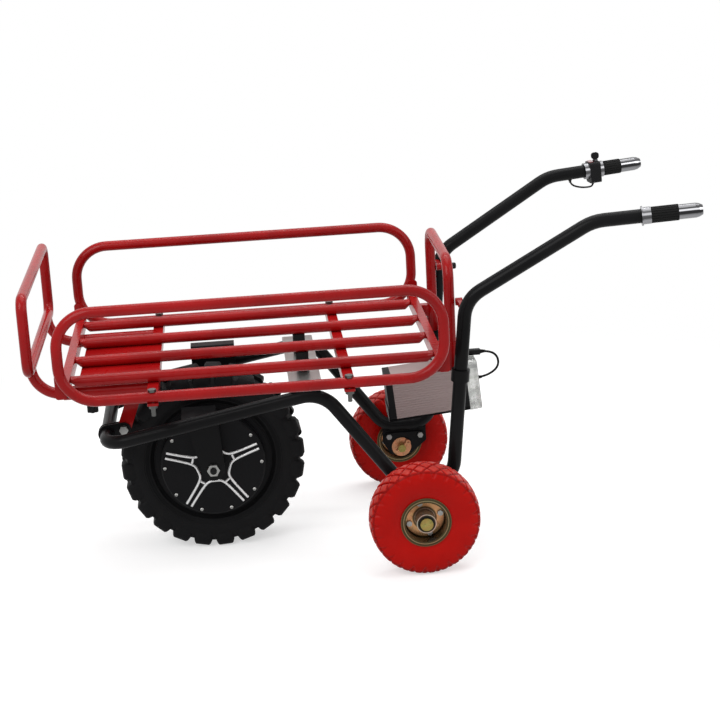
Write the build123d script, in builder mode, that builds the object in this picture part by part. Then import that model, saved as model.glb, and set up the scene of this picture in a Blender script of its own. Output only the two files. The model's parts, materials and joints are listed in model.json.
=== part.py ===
import math
import os

from build123d import *

os.makedirs("parts", exist_ok=True)

# Driving dimensions in millimetres. Reaches are measured from the rear axle.

# Clearances
RUN_CLEAR = 0.05
SLIDE_CLEAR = 0.30
SIDE_CLEAR = 0.50
GAP = 0.30

# Frame tubes
FRAME_D = 32.0
FRAME_WALL = 2.0
RAIL_Y = 228.0
FRONT_TUBE_REACH = 724.0
FRONT_TUBE_Z = 337.0
RAIL_TOP_REACH = 218.0
RAIL_TOP_Z = 430.0
LEG_FOOT_REACH = 41.0
UPRIGHT_FOOT_REACH = 79.0
FOOT_Z = 188.0
ELBOW_REACH = 122.0
ELBOW_Y = 248.0
ELBOW_Z = 630.0
HANDLE_BEND_REACH = 412.0
HANDLE_BEND_Y = 284.0
HANDLE_BEND_Z = 800.0
HANDLE_END_REACH = 638.0
HANDLE_END_Y = 310.0
HANDLE_END_Z = 815.0
CORNER_R = 55.0
RAIL_TOP_R = 80.0
FOOT_R = 55.0
ELBOW_R = 80.0
HANDLE_BEND_R = 110.0

# Grips and controls
GRIP_D = 37.0
GRIP_LENGTH = 62.0
TWIST_LENGTH = 46.0
END_CAP_D = 34.0
END_CAP_TIP_D = 23.0
END_CAP_COVER = 36.0
END_CAP_NOSE = 18.0
END_CAP_SHOULDER = 10.0
END_CAP_SHOULDER_D = 31.0
COLLAR_D = 39.0
COLLAR_LENGTH = 21.0
COLLAR_FLANGE_D = 45.0
COLLAR_FLANGE_T = 3.0
HOUSING_CLAMP_D = 41.0
HOUSING_CLAMP_FRONT = 9.0
HOUSING_CLAMP_BACK = 12.0
HOUSING_LENGTH = 28.0
HOUSING_WIDTH = 42.0
HOUSING_UP = 22.0
HOUSING_DOWN = 31.0
KEY_BARREL_D = 13.0
KEY_BARREL_H = 5.0
KEY_SHANK_D = 6.0
KEY_SHANK_DEPTH = 11.0
KEY_SHANK_GRIP = 3.0
KEY_HEAD_WIDTH = 20.0
KEY_HEAD_HEIGHT = 17.0
KEY_HEAD_THICK = 4.0
KEY_HEAD_R = 7.0
LENS_LENGTH = 11.0
LENS_WIDTH = 26.0
LENS_HEIGHT = 2.0
THROTTLE_CABLE_D = 4.5

# Driven wheel
AXLE_SETBACK = 241.0
WHEELBASE = FRONT_TUBE_REACH - AXLE_SETBACK
DRIVE_R = 223.0
DRIVE_TYRE_WIDTH = 122.0
LUG_DEPTH = 12.0
LUG_COUNT = 24
LUG_LENGTH = 32.0
LUG_TURN = 3.75
LUG_SHOULDER = 6.0
TYRE_WALL = 9.0
TYRE_BEAD = 12.0
BEAD_R = 127.0
BEAD_WIDTH = 84.0
RIM_FLANGE_R = 139.0
RIM_FLANGE_T = 5.0
SHELL_R = 126.0
SHELL_WIDTH = 156.0
SHELL_BORE_R = 106.0
COVER_T = 9.0
COVER_SCREW_PCD = 233.0
COVER_SCREW_COUNT = 10
COVER_SCREW_D = 6.0
COVER_SCREW_HEAD_D = 11.0
COVER_SCREW_HEAD_H = 4.0
MAGNET_T = 4.5
AIR_GAP = 1.0
STATOR_WIDTH = 42.0
STATOR_RING = 26.0
MOTOR_AXLE_D = 16.0
MOTOR_AXLE_LENGTH = 274.0
BEARING_OD = 40.0
BEARING_WIDTH = 12.0
DROPOUT_Y = 112.0
DROPOUT_T = 8.0
DROPOUT_WIDTH = 80.0
DROPOUT_LEAN = 24.0
DROPOUT_FOOT_R = 28.0
AXLE_NUT_AF = 27.0
AXLE_NUT_T = 11.0

# Rear wheels
REAR_R = 130.0
REAR_TYRE_WIDTH = 85.0
REAR_TRACK = 605.0
REAR_RIM_R = 51.0
REAR_FLANGE_R = 59.0
REAR_FLANGE_Y = 33.0
RIM_SHEET = 3.0
RIM_DISH_Y = 6.0
REAR_CROWN_DROP = 4.0
REAR_SHOULDER = 7.0
RIM_BOLT_PCD = 76.0
RIM_BOLT_TURN = 16.0
RIM_BOLT_D = 8.0
RIM_BOLT_HEAD_R = 7.0
RIM_BOLT_HEAD_H = 6.0
HUB_D = 46.0
HUB_LENGTH = 88.0
REAR_AXLE_D = 20.0
REAR_BEARING_WIDTH = 12.0
REAR_BEARING_D = 37.0
AXLE_HEAD_D = 30.0
AXLE_HEAD_T = 6.0
AXLE_SPACER_D = 29.0
AXLE_PLATE_T = 6.0
AXLE_PLATE_TOP = 20.0
AXLE_PLATE_CORNER_R = 12.0
AXLE_PLATE_HUB_R = 24.0
AXLE_LUG_FRONT = 47.0
AXLE_LUG_REAR = 66.0
AXLE_LUG_SHOULDER = 12.0
AXLE_LUG_FOOT_HALF = 26.0
AXLE_LUG_FOOT_DROP = 22.0
BRACKET_BOLT_FRONT = 31.0
BRACKET_BOLT_REAR = 50.0
BRACKET_BOLT_UP = 29.0
BRACKET_BOLT_D = 8.0
BRACKET_NUT_AF = 13.0
BRACKET_NUT_T = 6.0
AXLE_WASHER_D = 50.0
AXLE_WASHER_T = 3.0
AXLE_TAIL = 16.0
SPLIT_PIN_D = 4.0

# Bed
SLAT_D = 26.0
SLAT_WALL = 2.0
SLAT_PITCH = 164.0
SLAT_COUNT = 4
SLAT_Z = 502.0
SLAT_TAPER = 30.0
TONGUE_T = 5.0
BED_FRONT_REACH = 797.0
BED_REAR_REACH = 52.0
END_TUBE_W = 20.0
END_TUBE_H = 30.0
END_TUBE_WALL = 2.0
CROSS_FRONT_REACH = 601.0
CROSS_REAR_REACH = 160.0
CROSS_W = 25.0
CROSS_H = 25.0
CROSS_WALL = 2.0
FLANGE_T = 5.5
CORNER_PLATE_T = 5.0
CORNER_PLATE_W = 25.0
CORNER_PLATE_H = 56.0

# Fences
FENCE_D = 25.0
FENCE_WALL = 2.0
SIDE_FENCE_Y = 345.0
SIDE_FENCE_H = 204.0
SIDE_FENCE_OVERHANG = 6.0
SIDE_FENCE_R = 82.0
SIDE_FENCE_SEAM = 87.0
FENCE_BOLT_D = 10.0
FENCE_BOLT_HEAD_H = 6.0
FENCE_BOLT_TAIL = 26.0
FENCE_NUT_T = 8.0
FENCE_NUT_AF = 17.0
FRONT_FENCE_REACH = 876.0
FRONT_FENCE_HALF = 290.0
FRONT_FENCE_BOTTOM_Z = 538.0
FRONT_FENCE_H = 170.0
FRONT_FENCE_R = 28.0
FRONT_LEG_Y = 228.0
VENT_D = 8.0
SOCKET_D = 32.0
KNOB_REACH = 745.0
KNOB_BOSS_D = 22.0
KNOB_BOSS_H = 10.0
KNOB_STUD_D = 10.0
KNOB_D = 26.0
KNOB_H = 17.0
KNOB_NECK_D = 17.0
KNOB_NECK_H = 5.0
BACK_FENCE_REACH = 92.0
BACK_FENCE_HALF = 182.0
BACK_FENCE_TOP_Z = 707.0
BACK_FENCE_R = 45.0
BACK_SOCKET_BOTTOM_Z = 449.0
BACK_SOCKET_H = 67.0
BACK_SOCKET_FLOOR = 3.0
BACK_FENCE_LIFT = 80.0
LATCH_Z = 610.0
LATCH_GAP = 2.0
LATCH_TUBE_D = 18.0
LATCH_TUBE_LENGTH = 16.0
LATCH_LUG_W = 10.0
LATCH_LUG_H = 12.0
LATCH_PIN_D = 10.0
LATCH_STROKE = 10.0
LATCH_KNOB_D = 16.0
LATCH_KNOB_LENGTH = 23.0

# Hinge
HINGE_REACH = 685.0
HINGE_Z = 345.0
HINGE_LEG_Y = 130.0
HINGE_LEG_T = 6.0
HINGE_LEG_W = 32.0
HINGE_EAR_T = 5.0
HINGE_BOLT_D = 12.0
HINGE_NUT_AF = 19.0
HINGE_NUT_T = 8.0
SADDLE_T = 4.0
SADDLE_HALF = 175.0
SADDLE_LENGTH = 160.0

# Rest plate and buffers
REST_PLATE_W = 76.0
REST_PLATE_T = 4.0
BUFFER_D = 30.0

# Battery, tray and controller
BATTERY_REACH = 30.0
BATTERY_Z = 288.5
BATTERY_TILT = 5.0
BATTERY_LENGTH = 166.0
BATTERY_WIDTH = 90.0
BATTERY_H = 112.0
BATTERY_WALL = 4.0
RIB_PITCH = 6.0
RIB_COUNT = 17
RIB_W = 3.0
RIB_DEPTH = 1.2
FRONT_CAP_T = 16.0
REAR_CAP_T = 12.0
CELL_D = 21.0
CELL_LENGTH = 70.0
CELL_PITCH = 21.6
CELL_ROWS = 4
CELL_COLUMNS = 7
TRAY_T = 3.0
TRAY_LIP = 28.0
COVER_DEPTH = 30.0
COVER_WALL = 2.0
COVER_RISE = 7.0
CONNECTOR_LENGTH = 44.0
CONNECTOR_WIDTH = 18.0
CONNECTOR_H = 14.0
POWER_CABLE_D = 5.5
CARRIER_Z = 450.0
CARRIER_T = 8.0
CARRIER_BACK = 12.0
CARRIER_H = 28.0
CLAMP_D = 43.0
CLAMP_H = 28.0
CONTROLLER_LENGTH = 109.0
CONTROLLER_DEPTH = 40.0
CONTROLLER_H = 70.0
CONTROLLER_REACH = 468.0
CONTROLLER_WALL = 3.0

# Handle direction, unit vector along both grips
handle_dx = HANDLE_END_REACH - HANDLE_BEND_REACH
handle_dy = HANDLE_END_Y - HANDLE_BEND_Y
handle_dz = HANDLE_END_Z - HANDLE_BEND_Z
handle_run = math.sqrt(handle_dx**2 + handle_dy**2 + handle_dz**2)
axis_x = handle_dx / handle_run
axis_y = handle_dy / handle_run
axis_z = handle_dz / handle_run

# Places along X, with the origin half way between the front fence and the end caps
cap_tip = HANDLE_END_REACH + END_CAP_NOSE * axis_x + END_CAP_TIP_D / 2 * math.sqrt(1 - axis_x**2)
X_REAR = (FRONT_FENCE_REACH + FENCE_D / 2 - cap_tip) / 2
X_DRIVE = X_REAR - WHEELBASE
X_FRONT_TUBE = X_REAR - FRONT_TUBE_REACH
X_HINGE = X_REAR - HINGE_REACH
X_BED_FRONT = X_REAR - BED_FRONT_REACH
X_BED_REAR = X_REAR + BED_REAR_REACH
X_CROSS_FRONT = X_REAR - CROSS_FRONT_REACH
X_CROSS_REAR = X_REAR - CROSS_REAR_REACH
X_FRONT_FENCE = X_REAR - FRONT_FENCE_REACH
X_BACK_FENCE = X_REAR + BACK_FENCE_REACH

# Heights
slat_bottom = SLAT_Z - SLAT_D / 2
cross_bottom = slat_bottom - CROSS_H
side_fence_z = cross_bottom + FLANGE_T + FENCE_D / 2
end_tube_bottom = SLAT_Z - END_TUBE_H / 2
socket_z = end_tube_bottom - SOCKET_D / 2
socket_bore_r = FENCE_D / 2 + SLIDE_CLEAR
front_leg_r = FRONT_FENCE_BOTTOM_Z - socket_z

# Rail slope and the highest point of the rail bend
rail_slope = math.atan2(RAIL_TOP_Z - FRONT_TUBE_Z, FRONT_TUBE_REACH - RAIL_TOP_REACH)
leg_slope = math.atan2(RAIL_TOP_Z - FOOT_Z, RAIL_TOP_REACH - LEG_FOOT_REACH)
bend_setback = RAIL_TOP_R * math.tan((rail_slope + leg_slope) / 2)
crest_x = X_REAR - RAIL_TOP_REACH - bend_setback * math.cos(rail_slope) + RAIL_TOP_R * math.sin(rail_slope)
crest_z = RAIL_TOP_Z - bend_setback * math.sin(rail_slope) - RAIL_TOP_R * math.cos(rail_slope) + RAIL_TOP_R
rest_z = crest_z + FRAME_D / 2


def frame_points(side):
    return [
        (X_FRONT_TUBE, 0, FRONT_TUBE_Z),
        (X_FRONT_TUBE, side * RAIL_Y, FRONT_TUBE_Z),
        (X_REAR - RAIL_TOP_REACH, side * RAIL_Y, RAIL_TOP_Z),
        (X_REAR - LEG_FOOT_REACH, side * RAIL_Y, FOOT_Z),
        (X_REAR + UPRIGHT_FOOT_REACH, side * RAIL_Y, FOOT_Z),
        (X_REAR + ELBOW_REACH, side * ELBOW_Y, ELBOW_Z),
        (X_REAR + HANDLE_BEND_REACH, side * HANDLE_BEND_Y, HANDLE_BEND_Z),
        (X_REAR + HANDLE_END_REACH, side * HANDLE_END_Y, HANDLE_END_Z),
    ]


FRAME_RADII = [CORNER_R, RAIL_TOP_R, FOOT_R, FOOT_R, ELBOW_R, HANDLE_BEND_R]


def upright_at(z, side):
    share = (z - FOOT_Z) / (ELBOW_Z - FOOT_Z)
    x = X_REAR + UPRIGHT_FOOT_REACH + share * (ELBOW_REACH - UPRIGHT_FOOT_REACH)
    y = side * (RAIL_Y + share * (ELBOW_Y - RAIL_Y))
    return (x, y, z)


def upright_direction(side):
    return (ELBOW_REACH - UPRIGHT_FOOT_REACH, side * (ELBOW_Y - RAIL_Y), ELBOW_Z - FOOT_Z)


def handle_plane(side, back):
    # local z along the grip towards its end, local y upwards
    origin = (
        X_REAR + HANDLE_END_REACH - back * axis_x,
        side * (HANDLE_END_Y - back * axis_y),
        HANDLE_END_Z - back * axis_z,
    )
    across = (-side * axis_y, axis_x, 0)
    return Plane(origin=origin, x_dir=across, z_dir=(axis_x, side * axis_y, axis_z))


def wheel_plane(x, y, z):
    # local x along the wheel's axle (+Y), local y upwards
    return Plane(origin=(x, y, z), x_dir=(0, 1, 0), z_dir=(1, 0, 0))


def side_plane(x, y, z):
    # local x forward along +X, local y upwards, normal towards -Y
    return Plane(origin=(x, y, z), x_dir=(1, 0, 0), z_dir=(0, -1, 0))


# Latch place behind the legs of the back fence
latch_front = X_BACK_FENCE + FENCE_D / 2 + LATCH_GAP
latch_rear = latch_front + LATCH_TUBE_LENGTH

# Throttle housing places, measured back from the handle end
twist_start = END_CAP_COVER + SIDE_CLEAR
twist_back = twist_start + TWIST_LENGTH
housing_front = twist_back + SIDE_CLEAR + HOUSING_CLAMP_FRONT
housing_mid = housing_front + HOUSING_LENGTH / 2
housing_back = housing_front + HOUSING_LENGTH

# Frame tube outlines, used to cut the parts that are welded to them
outlines = []
for side in (-1, 1):
    with BuildPart() as outline:
        with BuildLine():
            FilletPolyline(*frame_points(side), radius=FRAME_RADII)
        with BuildSketch(Plane(origin=frame_points(side)[0], z_dir=(0, side, 0))):
            Circle(FRAME_D / 2)
        sweep()
    outlines.append(outline.part)

# Frame tubes
for side, label in ((-1, "frame_tube_left"), (1, "frame_tube_right")):
    with BuildPart() as frame_tube:
        with BuildLine():
            FilletPolyline(*frame_points(side), radius=FRAME_RADII)
        with BuildSketch(Plane(origin=frame_points(side)[0], z_dir=(0, side, 0))):
            Circle(FRAME_D / 2)
            Circle(FRAME_D / 2 - FRAME_WALL, mode=Mode.SUBTRACT)
        sweep()
    frame_tube.part.label = label
    export_step(frame_tube.part, f"parts/{label}.step")

# Rest plate across the two rails
with BuildPart() as rest_plate:
    with BuildSketch(Plane(origin=(crest_x, 0, rest_z))):
        RectangleRounded(REST_PLATE_W, 2 * RAIL_Y + FRAME_D / 2, 6)
    extrude(amount=REST_PLATE_T)
rest_plate.part.label = "rest_plate"
export_step(rest_plate.part, "parts/rest_plate.step")

# Rubber buffers between the rest plate and the slats
with BuildPart() as rest_buffers:
    with BuildSketch(Plane(origin=(crest_x, 0, rest_z + REST_PLATE_T))):
        with GridLocations(0, SLAT_PITCH, 1, 2):
            Circle(BUFFER_D / 2)
    extrude(amount=slat_bottom - GAP - rest_z - REST_PLATE_T)
rest_buffers.part.label = "rest_buffers"
export_step(rest_buffers.part, "parts/rest_buffers.step")

# Front hinge brackets, two ears on each side of each hinge leg
ear_inner = HINGE_LEG_T / 2 + SIDE_CLEAR
with BuildPart() as hinge_brackets:
    for side in (-1, 1):
        for start in (-ear_inner - HINGE_EAR_T, ear_inner):
            with BuildSketch(side_plane(0, side * HINGE_LEG_Y + start, 0)):
                with Locations((X_HINGE, HINGE_Z)):
                    Circle(HINGE_LEG_W / 2 + 1)
                with Locations((X_FRONT_TUBE, FRONT_TUBE_Z)):
                    Circle(FRAME_D / 2 + 6)
                make_hull()
                with Locations((X_HINGE, HINGE_Z)):
                    Circle(HINGE_BOLT_D / 2, mode=Mode.SUBTRACT)
                with Locations((X_FRONT_TUBE, FRONT_TUBE_Z)):
                    Circle(FRAME_D / 2, mode=Mode.SUBTRACT)
            extrude(amount=-HINGE_EAR_T)
hinge_brackets.part.label = "hinge_brackets"
export_step(hinge_brackets.part, "parts/hinge_brackets.step")

# Dropout brackets that carry the motor axle
dropout_reach = WHEELBASE + DROPOUT_LEAN
dropout_rail_z = FRONT_TUBE_Z + (FRONT_TUBE_REACH - dropout_reach) * math.tan(rail_slope)
dropout_shelf_z = dropout_rail_z - DROPOUT_T / 2
with BuildPart() as dropouts:
    for side in (-1, 1):
        inner_y = DROPOUT_Y if side == 1 else -DROPOUT_Y - DROPOUT_T
        with BuildSketch(side_plane(X_DRIVE, inner_y, 0)):
            with Locations((0, DRIVE_R)):
                Circle(DROPOUT_FOOT_R)
            with Locations((-DROPOUT_LEAN, dropout_rail_z)):
                Rectangle(DROPOUT_WIDTH, DROPOUT_T)
            make_hull()
            with Locations((0, DRIVE_R)):
                Circle(MOTOR_AXLE_D / 2, mode=Mode.SUBTRACT)
        extrude(amount=-DROPOUT_T)
        shelf_mid = side * (DROPOUT_Y + RAIL_Y) / 2
        with BuildSketch(Plane(origin=(X_DRIVE - DROPOUT_LEAN, shelf_mid, dropout_shelf_z))):
            Rectangle(DROPOUT_WIDTH, RAIL_Y - DROPOUT_Y)
        extrude(amount=DROPOUT_T)
    for outline_part in outlines:
        add(outline_part, mode=Mode.SUBTRACT)
dropouts.part.label = "dropouts"
export_step(dropouts.part, "parts/dropouts.step")

# Motor axle
with BuildPart() as motor_axle:
    with BuildSketch(side_plane(X_DRIVE, MOTOR_AXLE_LENGTH / 2, DRIVE_R)):
        Circle(MOTOR_AXLE_D / 2)
    extrude(amount=MOTOR_AXLE_LENGTH)
    chamfer(motor_axle.edges().filter_by(GeomType.CIRCLE), 1.0)
motor_axle.part.label = "motor_axle"
export_step(motor_axle.part, "parts/motor_axle.step")

# Motor stator: a slotted ring on a spoked hub
stator_r = SHELL_BORE_R - MAGNET_T - AIR_GAP
with BuildPart() as motor_stator:
    with BuildSketch(side_plane(X_DRIVE, STATOR_WIDTH / 2, DRIVE_R)):
        Circle(stator_r)
        Circle(stator_r - STATOR_RING, mode=Mode.SUBTRACT)
        with PolarLocations(0, 3):
            Rectangle(2 * stator_r - STATOR_RING, 14)
        Circle(MOTOR_AXLE_D)
        Circle(MOTOR_AXLE_D / 2, mode=Mode.SUBTRACT)
        with PolarLocations(stator_r - 9, 24):
            Rectangle(14, 6, mode=Mode.SUBTRACT)
    extrude(amount=STATOR_WIDTH)
motor_stator.part.label = "motor_stator"
export_step(motor_stator.part, "parts/motor_stator.step")

# Motor shell with the rim for the tyre
flange_y = BEAD_WIDTH / 2 + RIM_FLANGE_T
shell_half = SHELL_WIDTH / 2
with BuildPart() as motor_shell:
    with BuildSketch(wheel_plane(X_DRIVE, 0, DRIVE_R)):
        with BuildLine():
            Polyline(
                (-shell_half, SHELL_BORE_R),
                (-shell_half, SHELL_R),
                (-flange_y, SHELL_R),
                (-flange_y, RIM_FLANGE_R),
                (-BEAD_WIDTH / 2, RIM_FLANGE_R),
                (-BEAD_WIDTH / 2, BEAD_R),
                (BEAD_WIDTH / 2, BEAD_R),
                (BEAD_WIDTH / 2, RIM_FLANGE_R),
                (flange_y, RIM_FLANGE_R),
                (flange_y, SHELL_R),
                (shell_half, SHELL_R),
                (shell_half, SHELL_BORE_R),
                close=True,
            )
        make_face()
    revolve(axis=Axis((X_DRIVE, 0, DRIVE_R), (0, 1, 0)))
    for side in (-1, 1):
        with BuildSketch(side_plane(X_DRIVE, side * shell_half, DRIVE_R)):
            with PolarLocations(COVER_SCREW_PCD / 2, COVER_SCREW_COUNT):
                Circle(COVER_SCREW_D / 2)
        extrude(amount=side * 12, mode=Mode.SUBTRACT)
motor_shell.part.label = "motor_shell"
export_step(motor_shell.part, "parts/motor_shell.step")

# Motor covers with a bearing seat in each
bearing_outer_y = shell_half + COVER_T - 5
bearing_inner_y = bearing_outer_y - BEARING_WIDTH
with BuildPart() as motor_covers:
    for side in (-1, 1):
        with BuildSketch(wheel_plane(X_DRIVE, 0, DRIVE_R)):
            with BuildLine():
                Polyline(
                    (side * (shell_half + COVER_T), MOTOR_AXLE_D),
                    (side * (shell_half + COVER_T), SHELL_R - 4),
                    (side * (shell_half + COVER_T - 4), SHELL_R),
                    (side * shell_half, SHELL_R),
                    (side * shell_half, BEARING_OD / 2 + 12),
                    (side * bearing_inner_y, BEARING_OD / 2 + 9),
                    (side * bearing_inner_y, BEARING_OD / 2),
                    (side * bearing_outer_y, BEARING_OD / 2),
                    (side * bearing_outer_y, MOTOR_AXLE_D),
                    close=True,
                )
            make_face()
        revolve(axis=Axis((X_DRIVE, 0, DRIVE_R), (0, 1, 0)))
        with BuildSketch(side_plane(X_DRIVE, side * shell_half, DRIVE_R)):
            with PolarLocations(COVER_SCREW_PCD / 2, COVER_SCREW_COUNT):
                Circle(COVER_SCREW_D / 2)
        extrude(amount=-side * COVER_T, mode=Mode.SUBTRACT)
motor_covers.part.label = "motor_covers"
export_step(motor_covers.part, "parts/motor_covers.step")

# Cover screws
with BuildPart() as cover_screws:
    for side in (-1, 1):
        with BuildSketch(side_plane(X_DRIVE, side * (shell_half + COVER_T), DRIVE_R)):
            with PolarLocations(COVER_SCREW_PCD / 2, COVER_SCREW_COUNT):
                Circle(COVER_SCREW_D / 2)
        extrude(amount=side * (COVER_T + 10))
        with BuildSketch(side_plane(X_DRIVE, side * (shell_half + COVER_T), DRIVE_R)):
            with PolarLocations(COVER_SCREW_PCD / 2, COVER_SCREW_COUNT):
                Circle(COVER_SCREW_HEAD_D / 2)
        extrude(amount=-side * COVER_SCREW_HEAD_H)
cover_screws.part.label = "cover_screws"
export_step(cover_screws.part, "parts/cover_screws.step")

# Magnet ring inside the shell
with BuildPart() as rotor_magnets:
    with BuildSketch(side_plane(X_DRIVE, STATOR_WIDTH / 2 + 3, DRIVE_R)):
        Circle(SHELL_BORE_R)
        Circle(SHELL_BORE_R - MAGNET_T, mode=Mode.SUBTRACT)
    extrude(amount=STATOR_WIDTH + 6)
rotor_magnets.part.label = "rotor_magnets"
export_step(rotor_magnets.part, "parts/rotor_magnets.step")

# Motor bearings
with BuildPart() as motor_bearings:
    for side in (-1, 1):
        with BuildSketch(side_plane(X_DRIVE, side * bearing_outer_y, DRIVE_R)):
            Circle(BEARING_OD / 2)
            Circle(MOTOR_AXLE_D / 2 + RUN_CLEAR, mode=Mode.SUBTRACT)
        extrude(amount=side * BEARING_WIDTH)
motor_bearings.part.label = "motor_bearings"
export_step(motor_bearings.part, "parts/motor_bearings.step")

# Driven tyre with side lugs
carcass_r = DRIVE_R - LUG_DEPTH
tyre_half = DRIVE_TYRE_WIDTH / 2
lug_row_w = tyre_half - 6
with BuildPart() as drive_tyre:
    with BuildSketch(wheel_plane(X_DRIVE, 0, DRIVE_R)):
        with BuildLine():
            Polyline(
                (BEAD_WIDTH / 2, BEAD_R),
                (-BEAD_WIDTH / 2, BEAD_R),
                (-BEAD_WIDTH / 2, RIM_FLANGE_R + 4),
            )
            Spline(
                (-BEAD_WIDTH / 2, RIM_FLANGE_R + 4),
                (-tyre_half + 4, carcass_r - 38),
                (-tyre_half + 8, carcass_r - 12),
            )
            Spline(
                (-tyre_half + 8, carcass_r - 12),
                (0, carcass_r),
                (tyre_half - 8, carcass_r - 12),
                tangents=[(0.75, 0.66), (0.75, -0.66)],
            )
            Spline(
                (tyre_half - 8, carcass_r - 12),
                (tyre_half - 4, carcass_r - 38),
                (BEAD_WIDTH / 2, RIM_FLANGE_R + 4),
            )
            Line((BEAD_WIDTH / 2, RIM_FLANGE_R + 4), (BEAD_WIDTH / 2, BEAD_R))
        make_face()
    revolve(axis=Axis((X_DRIVE, 0, DRIVE_R), (0, 1, 0)))
    for side in (-1, 1):
        start = LUG_TURN if side == -1 else LUG_TURN + 180 / LUG_COUNT
        for i in range(LUG_COUNT):
            angle = math.radians(start + i * 360 / LUG_COUNT)
            out = (math.cos(angle), 0, math.sin(angle))
            root = carcass_r - 24
            seat = (X_DRIVE + root * out[0], side * (6 + lug_row_w / 2), DRIVE_R + root * out[2])
            with BuildSketch(Plane(origin=seat, x_dir=(0, 1, 0), z_dir=out)):
                Rectangle(lug_row_w, LUG_LENGTH)
            extrude(amount=DRIVE_R - root + 3)
    with BuildSketch(wheel_plane(X_DRIVE, 0, DRIVE_R)):
        with BuildLine():
            Polyline(
                (-tyre_half, BEAD_R - 1),
                (-tyre_half, DRIVE_R - LUG_SHOULDER),
                (-tyre_half + LUG_SHOULDER, DRIVE_R),
                (tyre_half - LUG_SHOULDER, DRIVE_R),
                (tyre_half, DRIVE_R - LUG_SHOULDER),
                (tyre_half, BEAD_R - 1),
                close=True,
            )
        make_face()
    revolve(axis=Axis((X_DRIVE, 0, DRIVE_R), (0, 1, 0)), mode=Mode.INTERSECT)
    with BuildSketch(wheel_plane(X_DRIVE, 0, DRIVE_R)):
        with BuildLine():
            Polyline(
                (-BEAD_WIDTH / 2 + TYRE_BEAD, BEAD_R - 1),
                (-BEAD_WIDTH / 2 + TYRE_BEAD, RIM_FLANGE_R + 2),
                (-tyre_half + 4 + TYRE_WALL, carcass_r - 38),
                (-tyre_half + 8 + TYRE_WALL, carcass_r - 22),
                (0, carcass_r - TYRE_WALL - 3),
                (tyre_half - 8 - TYRE_WALL, carcass_r - 22),
                (tyre_half - 4 - TYRE_WALL, carcass_r - 38),
                (BEAD_WIDTH / 2 - TYRE_BEAD, RIM_FLANGE_R + 2),
                (BEAD_WIDTH / 2 - TYRE_BEAD, BEAD_R - 1),
                close=True,
            )
        make_face()
    revolve(axis=Axis((X_DRIVE, 0, DRIVE_R), (0, 1, 0)), mode=Mode.SUBTRACT)
drive_tyre.part.label = "drive_tyre"
export_step(drive_tyre.part, "parts/drive_tyre.step")

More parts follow.
